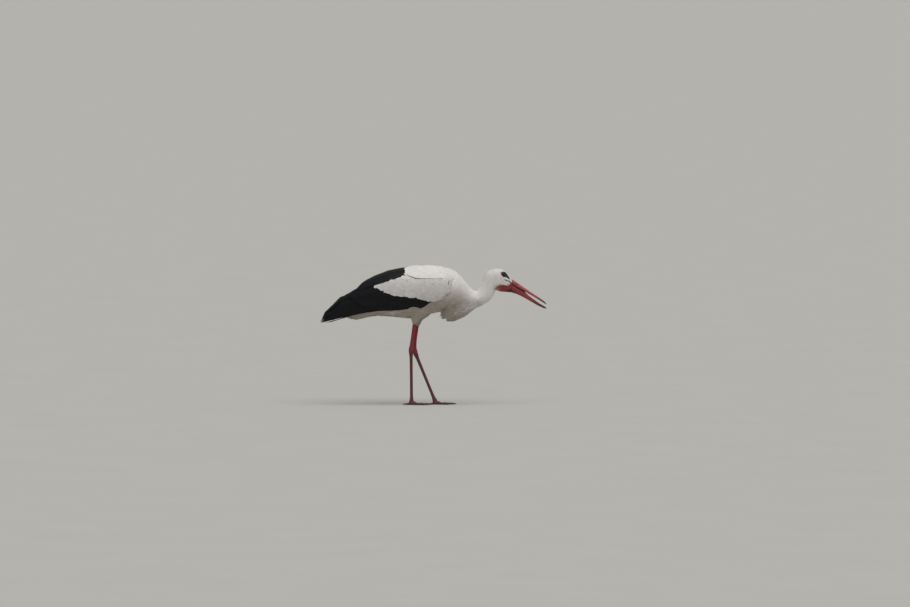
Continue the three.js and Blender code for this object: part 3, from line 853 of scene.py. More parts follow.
# ---------- materials ----------
class Shader:
    """A material and its nodes."""

    def __init__(self, name):
        self.material = bpy.data.materials.new(name)
        self.material.use_nodes = True
        self.tree = self.material.node_tree
        self.place = self.node("TexCoord").outputs["Object"]

    def fed(self, node, inputs):
        """Gives a node's inputs a value or another node's output."""
        for key, value in inputs.items():
            if isinstance(value, bpy.types.NodeSocket):
                self.tree.links.new(value, node.inputs[key])
            else:
                node.inputs[key].default_value = value
        return node

    def node(self, kind, inputs=(), **settings):
        node = self.tree.nodes.new("ShaderNode" + kind)
        for key, value in settings.items():
            setattr(node, key, value)
        return self.fed(node, dict(inputs))

    def math(self, operation, *values):
        return self.node("Math", enumerate(values), operation=operation).outputs[0]

    def scaled(self, colour, factor):
        return self.node("VectorMath", {0: colour, "Scale": factor}, operation="SCALE").outputs[0]

    def plumage(self):
        return self.node("Attribute", attribute_name="Plumage").outputs["Color"]

    def varied(self, colour, scale, detail, low, high, first=0.0, last=1.0):
        """A colour made darker and lighter by a soft noise, from low at first to high at last."""
        noise = self.node("TexNoise", {"Vector": self.place, "Scale": scale, "Detail": detail})
        spread = self.node("MapRange", {
            "Value": noise.outputs["Fac"], "From Min": first, "From Max": last,
            "To Min": low, "To Max": high})
        return self.scaled(colour, spread.outputs["Result"])

    def bump(self, height, strength, distance):
        node = self.node("Bump", {"Height": height, "Strength": strength, "Distance": distance})
        return node.outputs["Normal"]

    def made(self, colour, roughness, inputs):
        shader = self.tree.nodes["Principled BSDF"]
        self.fed(shader, {"Base Color": colour, "Roughness": roughness} | inputs)
        return self.material


def feather_material(name, roughness, sheen, variation, shine):
    """Vanes with barbs slanting out from a shaft; Vane is in metres along and across."""
    make = Shader(name)
    vane = make.node("SeparateXYZ", {0: make.node("UVMap", uv_map="Vane").outputs["UV"]}).outputs
    off = make.math("ABSOLUTE", vane["Y"])
    slant = make.math("SUBTRACT", vane["X"], make.math("MULTIPLY", off, BARB_SLANT))
    wave = make.math("SINE", make.math("MULTIPLY", slant, 2 * math.pi / BARB_GAP))
    shaft = make.math("MULTIPLY", make.math("LESS_THAN", off, SHAFT_HALF_WIDTH), 2.5)
    normal = make.bump(make.math("ADD", wave, shaft), 0.25, BARB_DEPTH)
    colour = make.varied(make.plumage(), 55, 5, 1 - variation, 1 + variation, 0.3, 0.7)
    colour = make.scaled(colour, make.math("MULTIPLY_ADD", wave, 0.02, 0.985))
    return make.made(colour, roughness, {
        "Normal": normal, "Specular IOR Level": shine, "Sheen Weight": sheen,
        "Sheen Roughness": 0.5})


def skin_material(name, roughness, cell, depth, variation=0.12, coat=0.0):
    """Bare skin or horn: Plumage colour, cells of a given size and fine noise."""
    make = Shader(name)
    cells = make.node("TexVoronoi", {"Vector": make.place, "Scale": 1 / cell},
                      feature="DISTANCE_TO_EDGE")
    rim = make.math("MULTIPLY", make.math("MINIMUM", cells.outputs["Distance"], 0.12), 8.0)
    fine = make.node("TexNoise", {"Vector": make.place, "Scale": 900})
    fine = make.math("MULTIPLY", fine.outputs["Fac"], 0.35)
    colour = make.varied(make.plumage(), 160, 5, 1 - variation, 1 + variation, 0.3, 0.7)
    return make.made(colour, roughness, {
        "Normal": make.bump(make.math("ADD", rim, fine), 0.5, depth),
        "Coat Weight": coat, "Coat Roughness": 0.12})


def eye_material():
    make = Shader("eye")
    return make.made(make.varied(make.plumage(), 700, 6, 0.5, 1.5), 0.12, {
        "Specular IOR Level": 0.3, "Coat Weight": 0.5, "Coat Roughness": 0.03})


# In metres.
BARB_GAP, BARB_DEPTH, SHAFT_HALF_WIDTH = 0.0006, 0.00004, 0.00045
BARB_SLANT = 1.3
WHITE_VANES = feather_material("white_vanes", 0.82, 0.25, 0.05, 0.35)
BLACK_VANES = feather_material("black_vanes", 0.48, 0.0, 0.25, 0.18)
SKIN = skin_material("skin", 0.55, 0.0022, 0.0002)
BILL = skin_material("bill", 0.33, 0.004, 0.00005, 0.1, coat=0.35)
CLAW = skin_material("claw", 0.4, 0.003, 0.00005, 0.2, coat=0.2)
EYES = eye_material()

# ---------- build: skin ----------
skin = body_skin()
write_points(skin, head_detail(read_points(skin), vectors(skin, "normal")))
legs = [leg_skin(*leg) for leg in LEGS.values()]
for leg in legs:
    write_points(leg, leg_detail(read_points(leg), vectors(leg, "normal"))[0])
union(skin, [wing_flesh(1), wing_flesh(-1), lid(1), lid(-1), mouth()] + legs)
points = read_points(skin)
leg_colours = leg_detail(points, vectors(skin, "normal"))[1]
colours = marking(points)
bare_leg = (points[:, 2] < 336) & (points[:, 0] > -130) & (points[:, 0] < 120)
colours[bare_leg] = leg_colours[bare_leg]
eye_away = np.linalg.norm(points * np.where(points[:, 1:2] < 0, [1, -1, 1], 1) - EYE, axis=1)
colours[eye_away < EYE_RADIUS + 2.6] = BARE_BLACK
paint(skin, colours)
FLESH = ["trunk", "neck_lower", "neck_upper", "head", "throat"]
for name in LEGS:
    FLESH += [f"leg_{name}_{part}" for part in ("thigh", "shank", "tarsus", "foot")]
    FLESH += [f"leg_{name}_{toe[0]}" for toe in TOES]
piece(skin, SKIN, FLESH)


# ---------- build: plumage of head, neck and trunk ----------
BODY_PER = 4
OUTER = spline(BODY_ROWS, np.linspace(0, 28, 28 * BODY_PER + 1))
BODY_ROUND = 160
BODY_SHEET = Surface(oval_rings(OUTER, BODY_ROUND), True)
# Row of the body: spacing along and round, length, half width, lancet or round tip.
BODY_FEATHERS = np.array([
    [0, 5.6, 5.2, 46, 6, 3.5],
    [5, 5.6, 5.4, 38, 6.4, 3.5],
    [9, 5.6, 5.4, 35, 6, 3.2],
    [12, 4.2, 4, 29, 4.4, 2.8],
    [15, 3.1, 2.8, 23, 2.8, 2.4],
    [18, 2.5, 2.2, 17, 1.9, 2.2],
    [21, 2, 1.9, 13, 1.45, 2.2],
    [24, 1.6, 1.6, 10, 1.2, 2.2],
    [27.6, 1.4, 1.4, 6.5, 1, 2.2],
])


def body_value(column, u):
    return np.interp(u / BODY_PER, BODY_FEATHERS[:, 0], BODY_FEATHERS[:, column])


def body_depth(u):
    return np.interp(u / BODY_PER, np.arange(len(BODY_ROWS)), BODY_ROWS[:, 7])


def body_coat(name, first, last, count):
    """The feathers that grow between two rows of the body, first nearest the bill."""
    u, v = scattered(BODY_SHEET, first * BODY_PER, last * BODY_PER,
                     lambda at: (body_value(1, at), body_value(2, at)))
    n = len(u)
    length = body_value(3, u) * random.uniform(0.8, 1.15, n)
    half = body_value(4, u) * random.uniform(0.85, 1.15, n)
    root = BODY_SHEET.at(u, v)[0]
    x, _, z = root.T
    # Below the neck and on the breast the plumes hang down; on the back they lie straight.
    low = smoothstep(0.1, -0.9, np.sin(v / BODY_ROUND * 2 * np.pi))
    turn = random.normal(0, 0.09, n)
    us, vs = traced(BODY_SHEET, u, v, length, count, turn, -1)
    tip = BODY_SHEET.at(us[:, -1], vs[:, -1])[0]
    inner = height_at(WING_INNER, tip[:, 0])
    covered = inside(WING_SIDE, tip[:, 0], tip[:, 2] - 14) & (np.abs(tip[:, 1]) > inner + 14)
    covered &= inside(WING_SIDE, x, z - 14) & (x < 62)
    eye = np.hypot(x - EYE[0], z - EYE[2]) < 8.6
    bare = bare_face(x, z) | (from_line(GAPE_STREAK, x, z) < 1.6) & (x > 290) | eye & (x > 200)
    breast = (x > 62) & (x < 207) & (z < np.interp(x, [62, 120, 207], [394, 416, 434]))
    keep = ~(covered | bare | breast)
    over_eye = (np.hypot(tip[:, 0] - EYE[0], tip[:, 2] - EYE[2]) < 7.4) & (x > 200)
    length = np.where(over_eye, length * 0.5, length)
    us, vs = traced(BODY_SHEET, u, v, length, count, turn, -1)
    us, vs, length, half = us[keep], vs[keep], length[keep], half[keep]
    depth = body_depth(u[keep])[:, None]
    t = stations(count)
    # One in three grows from the skin itself; the rest fill the coat above it.
    shallow = np.minimum(1.08 * depth, 0.8 + 0.2 * depth)
    root_depth = np.where(random.uniform(0, 1, depth.shape) < 0.33, 1.08 * depth, shallow)
    rise = -root_depth * (1 - t) ** 3 + random.normal(0, 0.012, (keep.sum(), 1)) * depth
    colour = marking(root[keep], False) * random.normal(1, 0.03, (keep.sum(), 1))
    point = body_value(5, u[keep])
    stray = low[keep] * smoothstep(60, 20, u[keep]) * random.uniform(0, 1, keep.sum()) ** 5
    rise = rise + (stray * 5)[:, None] * t**2
    coat = Coat(BODY_SHEET)
    coat.add(us, vs, length, half, rise, colour, point=point,
             camber=np.minimum(0.1, 0.22 / half), thick=np.clip(0.07 * half, 0.14, 0.3)[:, None],
             shade=(0.93, 1.0))
    coat.build(name, WHITE_VANES, "white_feathers")


body_coat("coat_face", 27.98, 24.5, 4)
body_coat("coat_head", 24.5, 20.5, 4)
body_coat("coat_neck", 20.5, 13.5, 5)
body_coat("coat_shoulders", 13.5, 9, 6)
body_coat("coat_trunk", 9, 0.2, 6)

# ---------- build: the breast and the ruff of long plumes ----------
BREAST_MIDDLE = np.array([[30, 428], [60, 430], [130, 428], [190, 432], [212, 440]])
BREAST_FRONT, BREAST_STEP = 212, 2.0
BREAST_ROUND = 141
DEEP_PLUMES = 620


def blurred(values, width, axis):
    """A Gaussian blur along one axis, its ends held."""
    reach = int(3 * width)
    kernel = np.exp(-0.5 * (np.arange(-reach, reach + 1) / width) ** 2)
    kernel = kernel / kernel.sum()
    padding = [(reach, reach) if i == axis else (0, 0) for i in range(values.ndim)]
    padded = np.pad(values, padding, mode="edge")
    return np.apply_along_axis(lambda a: np.convolve(a, kernel, "valid"), axis, padded)


def breast_sheet():
    """The lower neck and breast with the ruff that hangs from them, as one sheet."""
    body = oval_rings(spline(BODY_ROWS, np.linspace(8, 21, 500)), 300).reshape(-1, 3)
    hung = oval_rings(spline(RUFF, np.linspace(0, 6, 300)), 200).reshape(-1, 3)
    cloud = np.vstack([body, hung])
    xs = np.arange(BREAST_FRONT, 57, -BREAST_STEP)
    turn = np.radians(np.linspace(25, -205, BREAST_ROUND))
    reach = np.zeros((len(xs), BREAST_ROUND))
    for i, x in enumerate(xs):
        middle = height_at(BREAST_MIDDLE, x)
        near = cloud[(np.abs(cloud[:, 0] - x) < 2.2) & (cloud[:, 2] < middle + 60)]
        angle = np.arctan2(near[:, 2] - middle, near[:, 1])
        angle = np.where(angle > np.pi / 2, angle - 2 * np.pi, angle)
        slot = np.rint((turn[0] - angle) / (turn[0] - turn[-1]) * (BREAST_ROUND - 1)).astype(int)
        fine = (slot >= 0) & (slot < BREAST_ROUND)
        far = np.hypot(near[:, 1], near[:, 2] - middle)
        np.maximum.at(reach[i], slot[fine], far[fine])
        known = reach[i] > 0
        reach[i] = np.interp(np.arange(BREAST_ROUND), np.flatnonzero(known), reach[i][known])
    # The plumes bridge the hollow between the breast and the ruff.
    reach = np.maximum(reach, 0.985 * blurred(reach, 11, 1))
    reach = blurred(blurred(reach, 3.2, 1), 2.0, 0)
    middle = height_at(BREAST_MIDDLE, xs)[:, None]
    points = np.stack([np.broadcast_to(xs[:, None], reach.shape), reach * np.cos(turn),
                       middle + reach * np.sin(turn)], -1)
    return Surface(points, False, (points - middle[..., None] * [0, 0, 1]) * [0, 1, 1])


def breast():
    """Plumes of the breast, and the long loose ones of the ruff that hang back and down."""
    sheet = breast_sheet()
    rows = sheet.points.shape[0]
    outer_u, outer_v = scattered(
        sheet, 0, rows - 3, lambda at: np.interp(at, [0, 30, 80], [2.9, 3.6, 4.2]) * np.ones(2))
    u = np.append(outer_u, random.uniform(30, rows - 2, DEEP_PLUMES))
    v = np.append(outer_v, random.uniform(34, 106, DEEP_PLUMES))
    deep = np.append(np.zeros(len(outer_u)), random.uniform(4, 30, DEEP_PLUMES))
    n = len(u)
    turn = 25 - 230 * v / (BREAST_ROUND - 1)
    side = np.sign(np.cos(np.radians(turn)))
    low = 1 - np.abs(turn + 90) / 115
    x = sheet.points[np.clip(u.astype(int), 0, rows - 1), 70, 0]
    down = np.interp(x, [40, 100, 150, 205], [44, 34, 16, 4]) * np.clip(2.2 * (1 - low), 0, 1)
    heading = np.radians(down) * side + random.normal(0, 0.07, n)
    length = np.interp(x, [58, 80, 110, 160, 205], [40, 56, 60, 34, 18])
    length = length * random.uniform(0.75, 1.12, n)
    half = np.interp(x, [40, 110, 205], [3.4, 3.2, 2.1]) * random.uniform(0.8, 1.2, n)
    us, vs = traced(sheet, u, v, length, 9, heading, 1)
    # The tips end along a slanting, ragged line: the lower they hang, the further forward.
    tip = sheet.at(np.minimum(us[:, -1], rows - 1.01), vs[:, -1])[0]
    stop = np.interp(tip[:, 2], [342, 348, 356, 366, 390], [80, 68, 52, 41, 29])
    locks = 8 * np.sin(0.52 * tip[:, 2] + 0.02 * tip[:, 1]) + 3 * np.sin(1.3 * tip[:, 2])
    ragged = locks + random.normal(0, 2.5, n) - random.exponential(2.5, n)
    over = stop + ragged - (BREAST_FRONT - BREAST_STEP * us[:, -1])
    length = np.maximum(length - np.clip(over, 0, None) / np.cos(heading), 12)
    root_x = BREAST_FRONT - BREAST_STEP * u
    fits = root_x > stop + 8
    us, vs = traced(sheet, u, v, length, 9, heading, 1)
    t = stations(9)
    spread = np.interp(x, [60, 150, 205], [1.0, 0.5, 0.2])
    rise = -np.interp(x, [60, 205], [8, 4])[:, None] * (1 - t) ** 2 - deep[:, None]
    rise = rise - (random.uniform(0, 2.2, n) * spread)[:, None]
    free = np.zeros((n, 9, 3))
    free[..., 2] = -(random.uniform(0, 1, n) ** 2 * 7 * spread)[:, None] * t**2
    free[..., 1] = (random.normal(0, 1.6, n) * spread)[:, None] * t**2
    swell = np.interp(root_x, [90, 120, 150, 175, 200], [0, 5, 9, 5, 0]) * np.clip(low, 0, 1)
    free[..., 2] -= swell[:, None] * 4 * t * (1 - t)
    over = np.clip(us - (rows - BRINK), 0, None) * BREAST_STEP
    free[..., 2] -= over * random.uniform(0.0, 0.45, (n, 1))
    root = sheet.at(u, v)[0]
    tone = marking(root, False) * random.normal(0.98, 0.075, (n, 1))
    # Painted shade: the deep plumes, under the outer ones, are darker.
    tone *= np.where(deep > 0, 0.75, 1)[:, None]
    keep = fits & (root[:, 2] < np.interp(root[:, 0], [58, 70, 110, 212], [398, 412, 440, 456]))
    coat = Coat(sheet)
    coat.add(*(a[keep] for a in (us, vs, length, half, rise, tone)), point=2.0, camber=0.22,
             thick=0.45, shade=(0.66, 1.02), free=free[keep])
    coat.build("coat_ruff", WHITE_VANES, "white_feathers", ["neck_ruff"])


breast()

# ---------- build: the thighs' plumage ----------


def thigh_coat():
    coat = Coat(None)
    t = stations(6)
    for side, ankle, _ in LEGS.values():
        last = 50 if side < 0 else 45
        rows = dense(leg_rows(THIGH, side, ankle), 10)
        coat.surface = sheet = Surface(limb_rings(rows, 48), True)
        coat.side = side
        u, v = scattered(sheet, 0, last - 7, lambda at: (5, 4.6))
        n = len(u)
        length = np.interp(u, [0, 30, 52], [34, 27, 14]) * random.uniform(0.8, 1.15, n)
        half = np.interp(u, [0, 30, 52], [5, 3.6, 2.2])
        us, vs = traced(sheet, u, v, length, 6, random.normal(0, 0.1, n), 1)
        us = np.minimum(us, last + random.uniform(-4, 8, (n, 1)))
        depth = np.interp(u, [0, 20, 40, 55], [9, 7, 3.4, 1])[:, None]
        rise = -depth * (1 - t) ** 2 + random.normal(0, 0.3, (n, 1))
        colour = marking(sheet.at(u, v)[0], False) * random.normal(0.97, 0.035, (n, 1))
        coat.add(us, vs, length, half, rise, colour, point=3, camber=0.14, thick=0.4)
    coat.build("coat_thighs", WHITE_VANES, "white_feathers")


thigh_coat()

# ---------- build: the wings ----------
WING_FRONT, WING_STEP = 90, 2
SMALL_COVERTS = 1100
INNER_OVERLAP = 8  # how far the scapulars reach in past WING_INNER
WING_X = np.linspace(WING_FRONT, -480, 286)
WING_ROUND = 181
# The upper edge of the quills, where they point as flow() says.
FLOW_TOP = np.array([
    [80, 462], [10, 440], [-60, 444], [-114, 452], [-170, 458], [-206, 470], [-253, 489],
    [-310, 473], [-346, 460], [-395, 430], [-431, 395], [-454, 368], [-466, 336],
])
# How high the rows of coverts stand over the lowest of them.
COVERT_LIFTS = [0, 13, 25, 35, 44, 52, 60, 67, 74, 81, 88, 95, 102]
# Thin dark lines of painted shadow, in the gap under the scapulars and the fold at the wrist: the
# line, half width, height over the sheet and spacing.
PAINTED_SHADOW_LINES = [
    ([[34, 520.3], [0, 521.2], [-48, 520.5], [-78, 524], [-108, 539]], 1.1, 1.75, 6),
    ([[65.4, 506], [64.6, 502], [62.6, 495]], 1.6, 1.0, 4.5),
]
# Rows of black feathers, the deepest first: the line of their tips, how many, first and last
# length, points along each, first and last half width, the first one's height over the sheet
# and the step from one to the next, and the shape of the point.
QUILL_ROWS = [
    # Deep primaries, which show only between the outer ones; then the outer ones.
    ([[-405, 349], [-428, 346], [-446, 347], [-451, 358], [-443, 374], [-430, 389], [-414, 403],
      [-394, 419], [-368, 438]], 18, (190, 190), 18, (14, 14), -7.4, 0.06, 7),
    ([[-424, 339], [-444, 337], [-460, 337], [-465, 346], [-459, 359], [-450, 373], [-438, 388],
      [-424, 402], [-404, 417], [-380, 437], [-352, 455], [-330, 464]],
     22, (240, 190), 22, (9.5, 14), -5.4, 0.2, 4.2),
    # Secondaries along the lower edge, and those over them.
    ([[-96, 400], [-150, 393], [-190, 389], [-250, 388.5], [-300, 386], [-345, 377], [-392, 354],
      [-420, 343]], 20, (100, 210), 18, (8, 10), -5.6, -0.03, 4.5),
    ([[-165, 396], [-225, 397], [-275, 405], [-312, 424], [-336, 446], [-326, 462]],
     17, (150, 190), 18, (11, 14), -2.8, 0.12, 7),
    # Greater coverts, the alula and the row along the white.
    ([[-60, 401], [-88, 408], [-130, 409], [-178, 419], [-228, 438], [-272, 462]],
     19, (64, 80), 12, (8, 11.5), -1.7, 0.04, 6),
    ([[-56, 399], [-68, 408], [-100, 422], [-150, 436], [-200, 447], [-245, 470]],
     21, (48, 60), 10, (7, 9.5), -1.2, 0.03, 5.5),
    ([[-6, 430], [-16, 423], [-27, 415], [-38, 407], [-48, 400], [-54, 397]],
     9, (34, 34), 10, (5.2, 5.2), -0.44, -0.12, 4.5),
    ([[-18, 428], [-60, 428], [-110, 440], [-170, 447], [-215, 460], [-252, 478]],
     20, (40, 40), 10, (8, 8), -1.0, 0.02, 5.5),
]
TERTIAL_EDGE = [[-96, 552], [-119, 546], [-155, 532], [-196, 515], [-230, 502], [-262, 491],
                [-296, 478], [-313, 472]]


def wing_sheet(side):
    top, bottom, half = (a[:, None] for a in wing_section(WING_X))
    angle = np.linspace(np.pi / 2, -np.pi / 2, WING_ROUND)
    z = (top + bottom) / 2 + (top - bottom) / 2 * power(np.sin(angle), 2 / WING_POWER)
    y = side * half * power(np.cos(angle), 2 / WING_POWER)
    x = np.broadcast_to(WING_X[:, None], z.shape)
    return Surface(np.stack([x, y, z], -1), False)


def wing_place(x, z):
    """Where side points lie on a wing's sheet."""
    top, bottom, _ = wing_section(x)
    share = np.clip((z - (top + bottom) / 2) / ((top - bottom) / 2), -1, 1)
    angle = np.arcsin(np.clip(power(share, WING_POWER / 2), -1, 1))
    return (WING_FRONT - x) / WING_STEP, (np.pi / 2 - angle) / np.pi * (WING_ROUND - 1)


def over_line(sheet, x, rise, up):
    """The place a given way up the sheet from the line under the scapulars."""
    u, v = wing_place(x, height_at(SCAPULAR_LINE, x) + rise)
    return u, v - up / np.linalg.norm(sheet.at(u, v)[3], axis=-1)


def led(sheet, u, v, length, count, heading):
    """Paths that end at given tips; heading turns them down the wing as they run back."""
    us, vs = [u], [v]
    for step in np.diff(stations(count))[::-1]:
        _, _, along, over = sheet.at(us[-1], vs[-1])
        us.append(us[-1] - length * step * np.cos(heading) / np.linalg.norm(along, axis=-1))
        vs.append(vs[-1] - length * step * np.sin(heading) / np.linalg.norm(over, axis=-1))
    return np.stack(us[::-1], 1), np.stack(vs[::-1], 1)


def flow(x, z):
    """How far below level the quills point at side points, in radians."""
    low, high = height_at(WING_LOWER, x), height_at(FLOW_TOP, x)
    share = np.clip((z - low) / np.maximum(high - low, 8), 0, 1)
    below = np.interp(-x, [-20, 40, 75, 120, 250, 300, 340, 400, 470],
                      [40, 37, 16, 5, 3, 11, 17, 21, 24])
    above = np.interp(-x, [-20, 40, 100, 200, 250, 310, 350, 400, 440, 470],
                      [38, 20, 6, 6, 10, 15, 24, 36, 46, 56])
    return np.radians(below + (above - below) * share)


def combed(p, lengths, count):
    """Side paths (N, count, 2) from root to tip that follow the wing's flow to given tips."""
    path = [p]
    for step in np.diff(stations(count))[::-1]:
        for _ in range(4):
            a = flow(p[:, 0], p[:, 1])
            p = p + np.stack([np.cos(a), np.sin(a)], 1) * (lengths * step / 4)[:, None]
        path.append(p)
    return np.stack(path[::-1], 1)


def along_curve(points, count):
    return spline(points, np.linspace(0, len(points) - 1, count))


def shaded_white(z, tone):
    """White that darkens a little down the wing's side."""
    return WHITE * (1 - 0.2 * smoothstep(545, 495, z)[:, None]) * random.normal(
        tone, 0.03, (len(z), 1))


def white_coverts(coat):
    """Rows of small and middle coverts, the last of them a scalloped edge along the quills."""
    tips = []
    for r, lift in enumerate(COVERT_LIFTS):
        across = np.arange(72, -246, -np.interp(r, [0, 12], [12.5, 7]))
        across = across + random.uniform(-3, 3, len(across)) + (r % 2) * 5
        for x in across:
            high = height_at(SCAPULAR_LINE, x) + np.interp(x, [-125, -110], [-3, 10])
            z = height_at(COVERT_LINE, x) + lift + random.normal(0, 1.8)
            if z < high and (r > 0 or x < 12) and x < 54 + random.uniform(-6, 6):
                tips.append([x, z, r])
    x, z, r = np.array(tips).T
    n, t = len(x), stations(9)
    u, v = wing_place(x, z)
    front = smoothstep(-10, 70, x)
    length = np.interp(r, [0, 4, 12], [50, 38, 27]) * (1 - 0.4 * front)
    length *= random.uniform(0.88, 1.12, n)
    half = np.interp(r, [0, 4, 12], [9.8, 8, 5.6]) * (1 - 0.35 * front)
    half *= random.uniform(0.9, 1.1, n)
    heading = np.radians(7 + 26 * front) + random.normal(0, 0.07, n)
    us, vs = led(coat.surface, u, v, length, 9, heading)
    rise = -4.4 * (1 - t) ** 2 + (r * 0.08 - 0.1)[:, None] + random.normal(0, 0.15, (n, 1))
    coat.add(us, vs, length, half, rise, shaded_white(z, 0.985), point=random.uniform(3.6, 6, n),
        camber=0.07, thick=0.45, shade=(0.84, 1.0))


def small_coverts(coat):
    """The smallest coverts, round the wrist and along the wing's front edge."""
    x = random.uniform(8, 74, SMALL_COVERTS)
    z = random.uniform(430, 548, SMALL_COVERTS)
    keep = inside(WING_SIDE, x - 2, z + 2)
    x, z = x[keep], z[keep]
    n, t = len(x), stations(6)
    u, v = wing_place(x, z)
    length = random.uniform(14, 21, n)
    heading = np.radians(np.interp(z, [430, 500, 545], [38, 22, 6])) + random.normal(0, 0.08, n)
    us, vs = led(coat.surface, u, v, length, 6, heading)
    rise = -5 * (1 - t) ** 2 + random.normal(0.1, 0.25, (n, 1))
    rise -= 1.5 * smoothstep(40, 10, x)[:, None]
    colour = shaded_white(z, 0.99)
    coat.add(us, vs, length, random.uniform(3.2, 4.6, n), rise, colour, point=3.2,
        camber=0.1, thick=0.4, shade=(0.92, 1.0))


def scapulars(coat):
    """White feathers of the shoulder, which fall over the coverts' upper edge."""
    tips = []
    for r in range(15):
        for x in np.concatenate([np.arange(70, 20, -7.5), np.arange(20, -122, -12.5)]):
            x = x + random.uniform(-3, 3) + (r % 2) * 5
            u, up = over_line(coat.surface, x, 0.5, r * 8.0)
            if up > 0 and x > -122 + 0.5 * r:
                if abs(coat.surface.at(u, up)[0][1]) > height_at(WING_INNER, x) - INNER_OVERLAP:
                    tips.append([u, up, r, x])
    u, v, r, x = np.array(tips).T
    n, t = len(u), stations(8)
    length = np.interp(x, [-120, 0, 84], [60, 48, 24]) * random.uniform(0.9, 1.1, n)
    half = np.interp(x, [-120, 0, 84], [11.5, 9.5, 4.6])
    heading = np.radians(np.interp(x, [-120, 60], [5, 9])) + random.normal(0, 0.04, n)
    us, vs = led(coat.surface, u, v, length, 8, heading)
    vs = np.maximum(vs, 0.5)
    lift = 1.4 + 0.1 * r - 0.28 * np.clip(r - 9, 0, None)
    rise = -5 * (1 - t) ** 2.2 + lift[:, None] + random.normal(0, 0.12, (n, 1))
    rise = rise - 3.6 * smoothstep(15, 66, x)[:, None]
    colour = WHITE * random.normal(1.0, 0.02, (n, 1))
    # Along the back the wing's inner edge sinks between the feathers of the mantle.
    at = coat.surface.at(us, vs)[0]
    inner = height_at(WING_INNER, at[..., 0]) - INNER_OVERLAP
    edge = smoothstep(15, 3, np.abs(at[..., 1]) - inner) * smoothstep(-70, -25, at[..., 0])
    coat.add(us, vs, length, half, rise - 2.4 * edge, colour, point=6.5,
        camber=0.08 + 0.17 * edge[:, -1], thick=0.55, shade=(0.86, 1.0))


def painted_shadows(coat):
    for line, half, height, spacing in PAINTED_SHADOW_LINES:
        count = int(np.linalg.norm(np.diff(line, axis=0), axis=1).sum() / spacing)
        places = along_curve(line, count + 1)
        tips, back = places[1:], unit(places[:-1] - places[1:])
        length = random.uniform(2.2, 3.2, count) * spacing
        left = 1 - stations(5)
        paths = tips[:, None] + (back * length[:, None])[:, None] * left[:, None]
        paths[..., 1] += random.normal(0, 0.25, (count, 1))
        us, vs = wing_place(paths[..., 0], paths[..., 1])
        rise = height + random.normal(0, 0.05, (count, 1)) - 0.5 * left
        half = half * random.uniform(0.8, 1.2, count)
        # Their dark colour is painted shadow, for the shade in these gaps.
        colour = CREASE_SHADOW * random.normal(1, 0.06, (count, 1))
        coat.add(us, vs, length, half, rise, colour, point=2.6, camber=0, thick=0.2,
                 shade=(1, 1))


def black_quills(coat):
    """Coverts, alula, secondaries, primaries and the long black tertials."""

    def quills(us, vs, length, half, rise, point=6, camber=0.06, spread=0.1, light=1.12):
        colour = BLACK * random.normal(1, spread, (len(us), 1))
        coat.add(us, vs, length, half, rise, colour, point=point, camber=camber, thick=0.7,
            shade=(0.8, light))

    for line, count, lengths, stops, halves, first, step, point in QUILL_ROWS:
        paths = combed(along_curve(line, count), np.linspace(*lengths, count), stops)
        us, vs = wing_place(paths[..., 0], paths[..., 1])
        length = np.linalg.norm(np.diff(coat.surface.at(us, vs)[0], axis=1), axis=-1).sum(1)
        rise = (first + step * np.arange(count))[:, None] - 4 * (1 - stations(stops)) ** 2
        quills(us, vs, length, np.linspace(*halves, count), rise, point)
    # The tertials: long feathers side by side over the rump, the lowest along the white.
    t = stations(18)
    for lift, start, height in ((0, 0, 1.6), (2.5, 3, 1.9), (1.2, 7, 2.2)):
        path = along_curve(along_curve(TERTIAL_EDGE, 18)[start:] + [0, lift], 18)
        u, v = wing_place(path[:, 0], path[:, 1])
        rise = height - 5 * (1 - t) ** 2 - 2.2 * t**3
        quills(u[None], v[None], 210, 9, rise, camber=0.08, spread=0.08, light=1.1)
    t = stations(14)
    for r in range(11):
        for k, x in enumerate((-314 + 5 * r, -276 + 3 * r, -240, -204, -170)):
            u, up = over_line(coat.surface, np.array([x + random.uniform(-4, 4)]), 0, 7.5 * r + 14)
            if up[0] < 1:
                continue
            length = np.interp(-x, [170, 314], [90, 205])
            us, vs = led(coat.surface, u, up, length, 14, random.normal(0, 0.015))
            rise = -4 * (1 - t) ** 2 - 0.4 + 0.1 * r + 0.28 * k
            quills(us, np.maximum(vs, 0.5), length, 11.5, rise, camber=0.08)
    # The innermost primaries, which close over the tail between the two wings.
    for r, v in enumerate((1.0, 6, 11, 16, 22, 28, 35, 42)):
        for k, x in enumerate((-453 + 3 * r, -428, -400, -372, -344, -316)):
            u = (WING_FRONT - np.array([x + random.uniform(-4, 4)])) / WING_STEP
            us, vs = led(coat.surface, u, np.array([v]), 135, 14, 0)
            x_along = WING_FRONT - WING_STEP * us[0]
            # They sink behind the tertials' ends, which stand over them as a step.
            dip = smoothstep(-285, -314, x_along) * smoothstep(-392, -330, x_along)
            rise = -4 * (1 - t) ** 2 - 2.6 + 0.1 * r + 0.22 * k - 10 * dip
            quills(us, vs, 135, 9.5, rise)


def wing(side, label):
    sheet = wing_sheet(side)
    white, black = Coat(sheet, side), Coat(sheet, side)
    white_coverts(white)
    small_coverts(white)
    scapulars(white)
    painted_shadows(white)
    white.build(f"wing_white_{label}", WHITE_VANES, "white_feathers",
                [f"wing_{label}_scapulars", f"wing_{label}_coverts"])
    black_quills(black)
    black.build(f"wing_black_{label}", BLACK_VANES, "black_feathers",
                [f"wing_{label}_{part}" for part in ("secondaries", "tertials", "primaries")])


wing(-1, "right")
wing(1, "left")

# ---------- build: the tail ----------


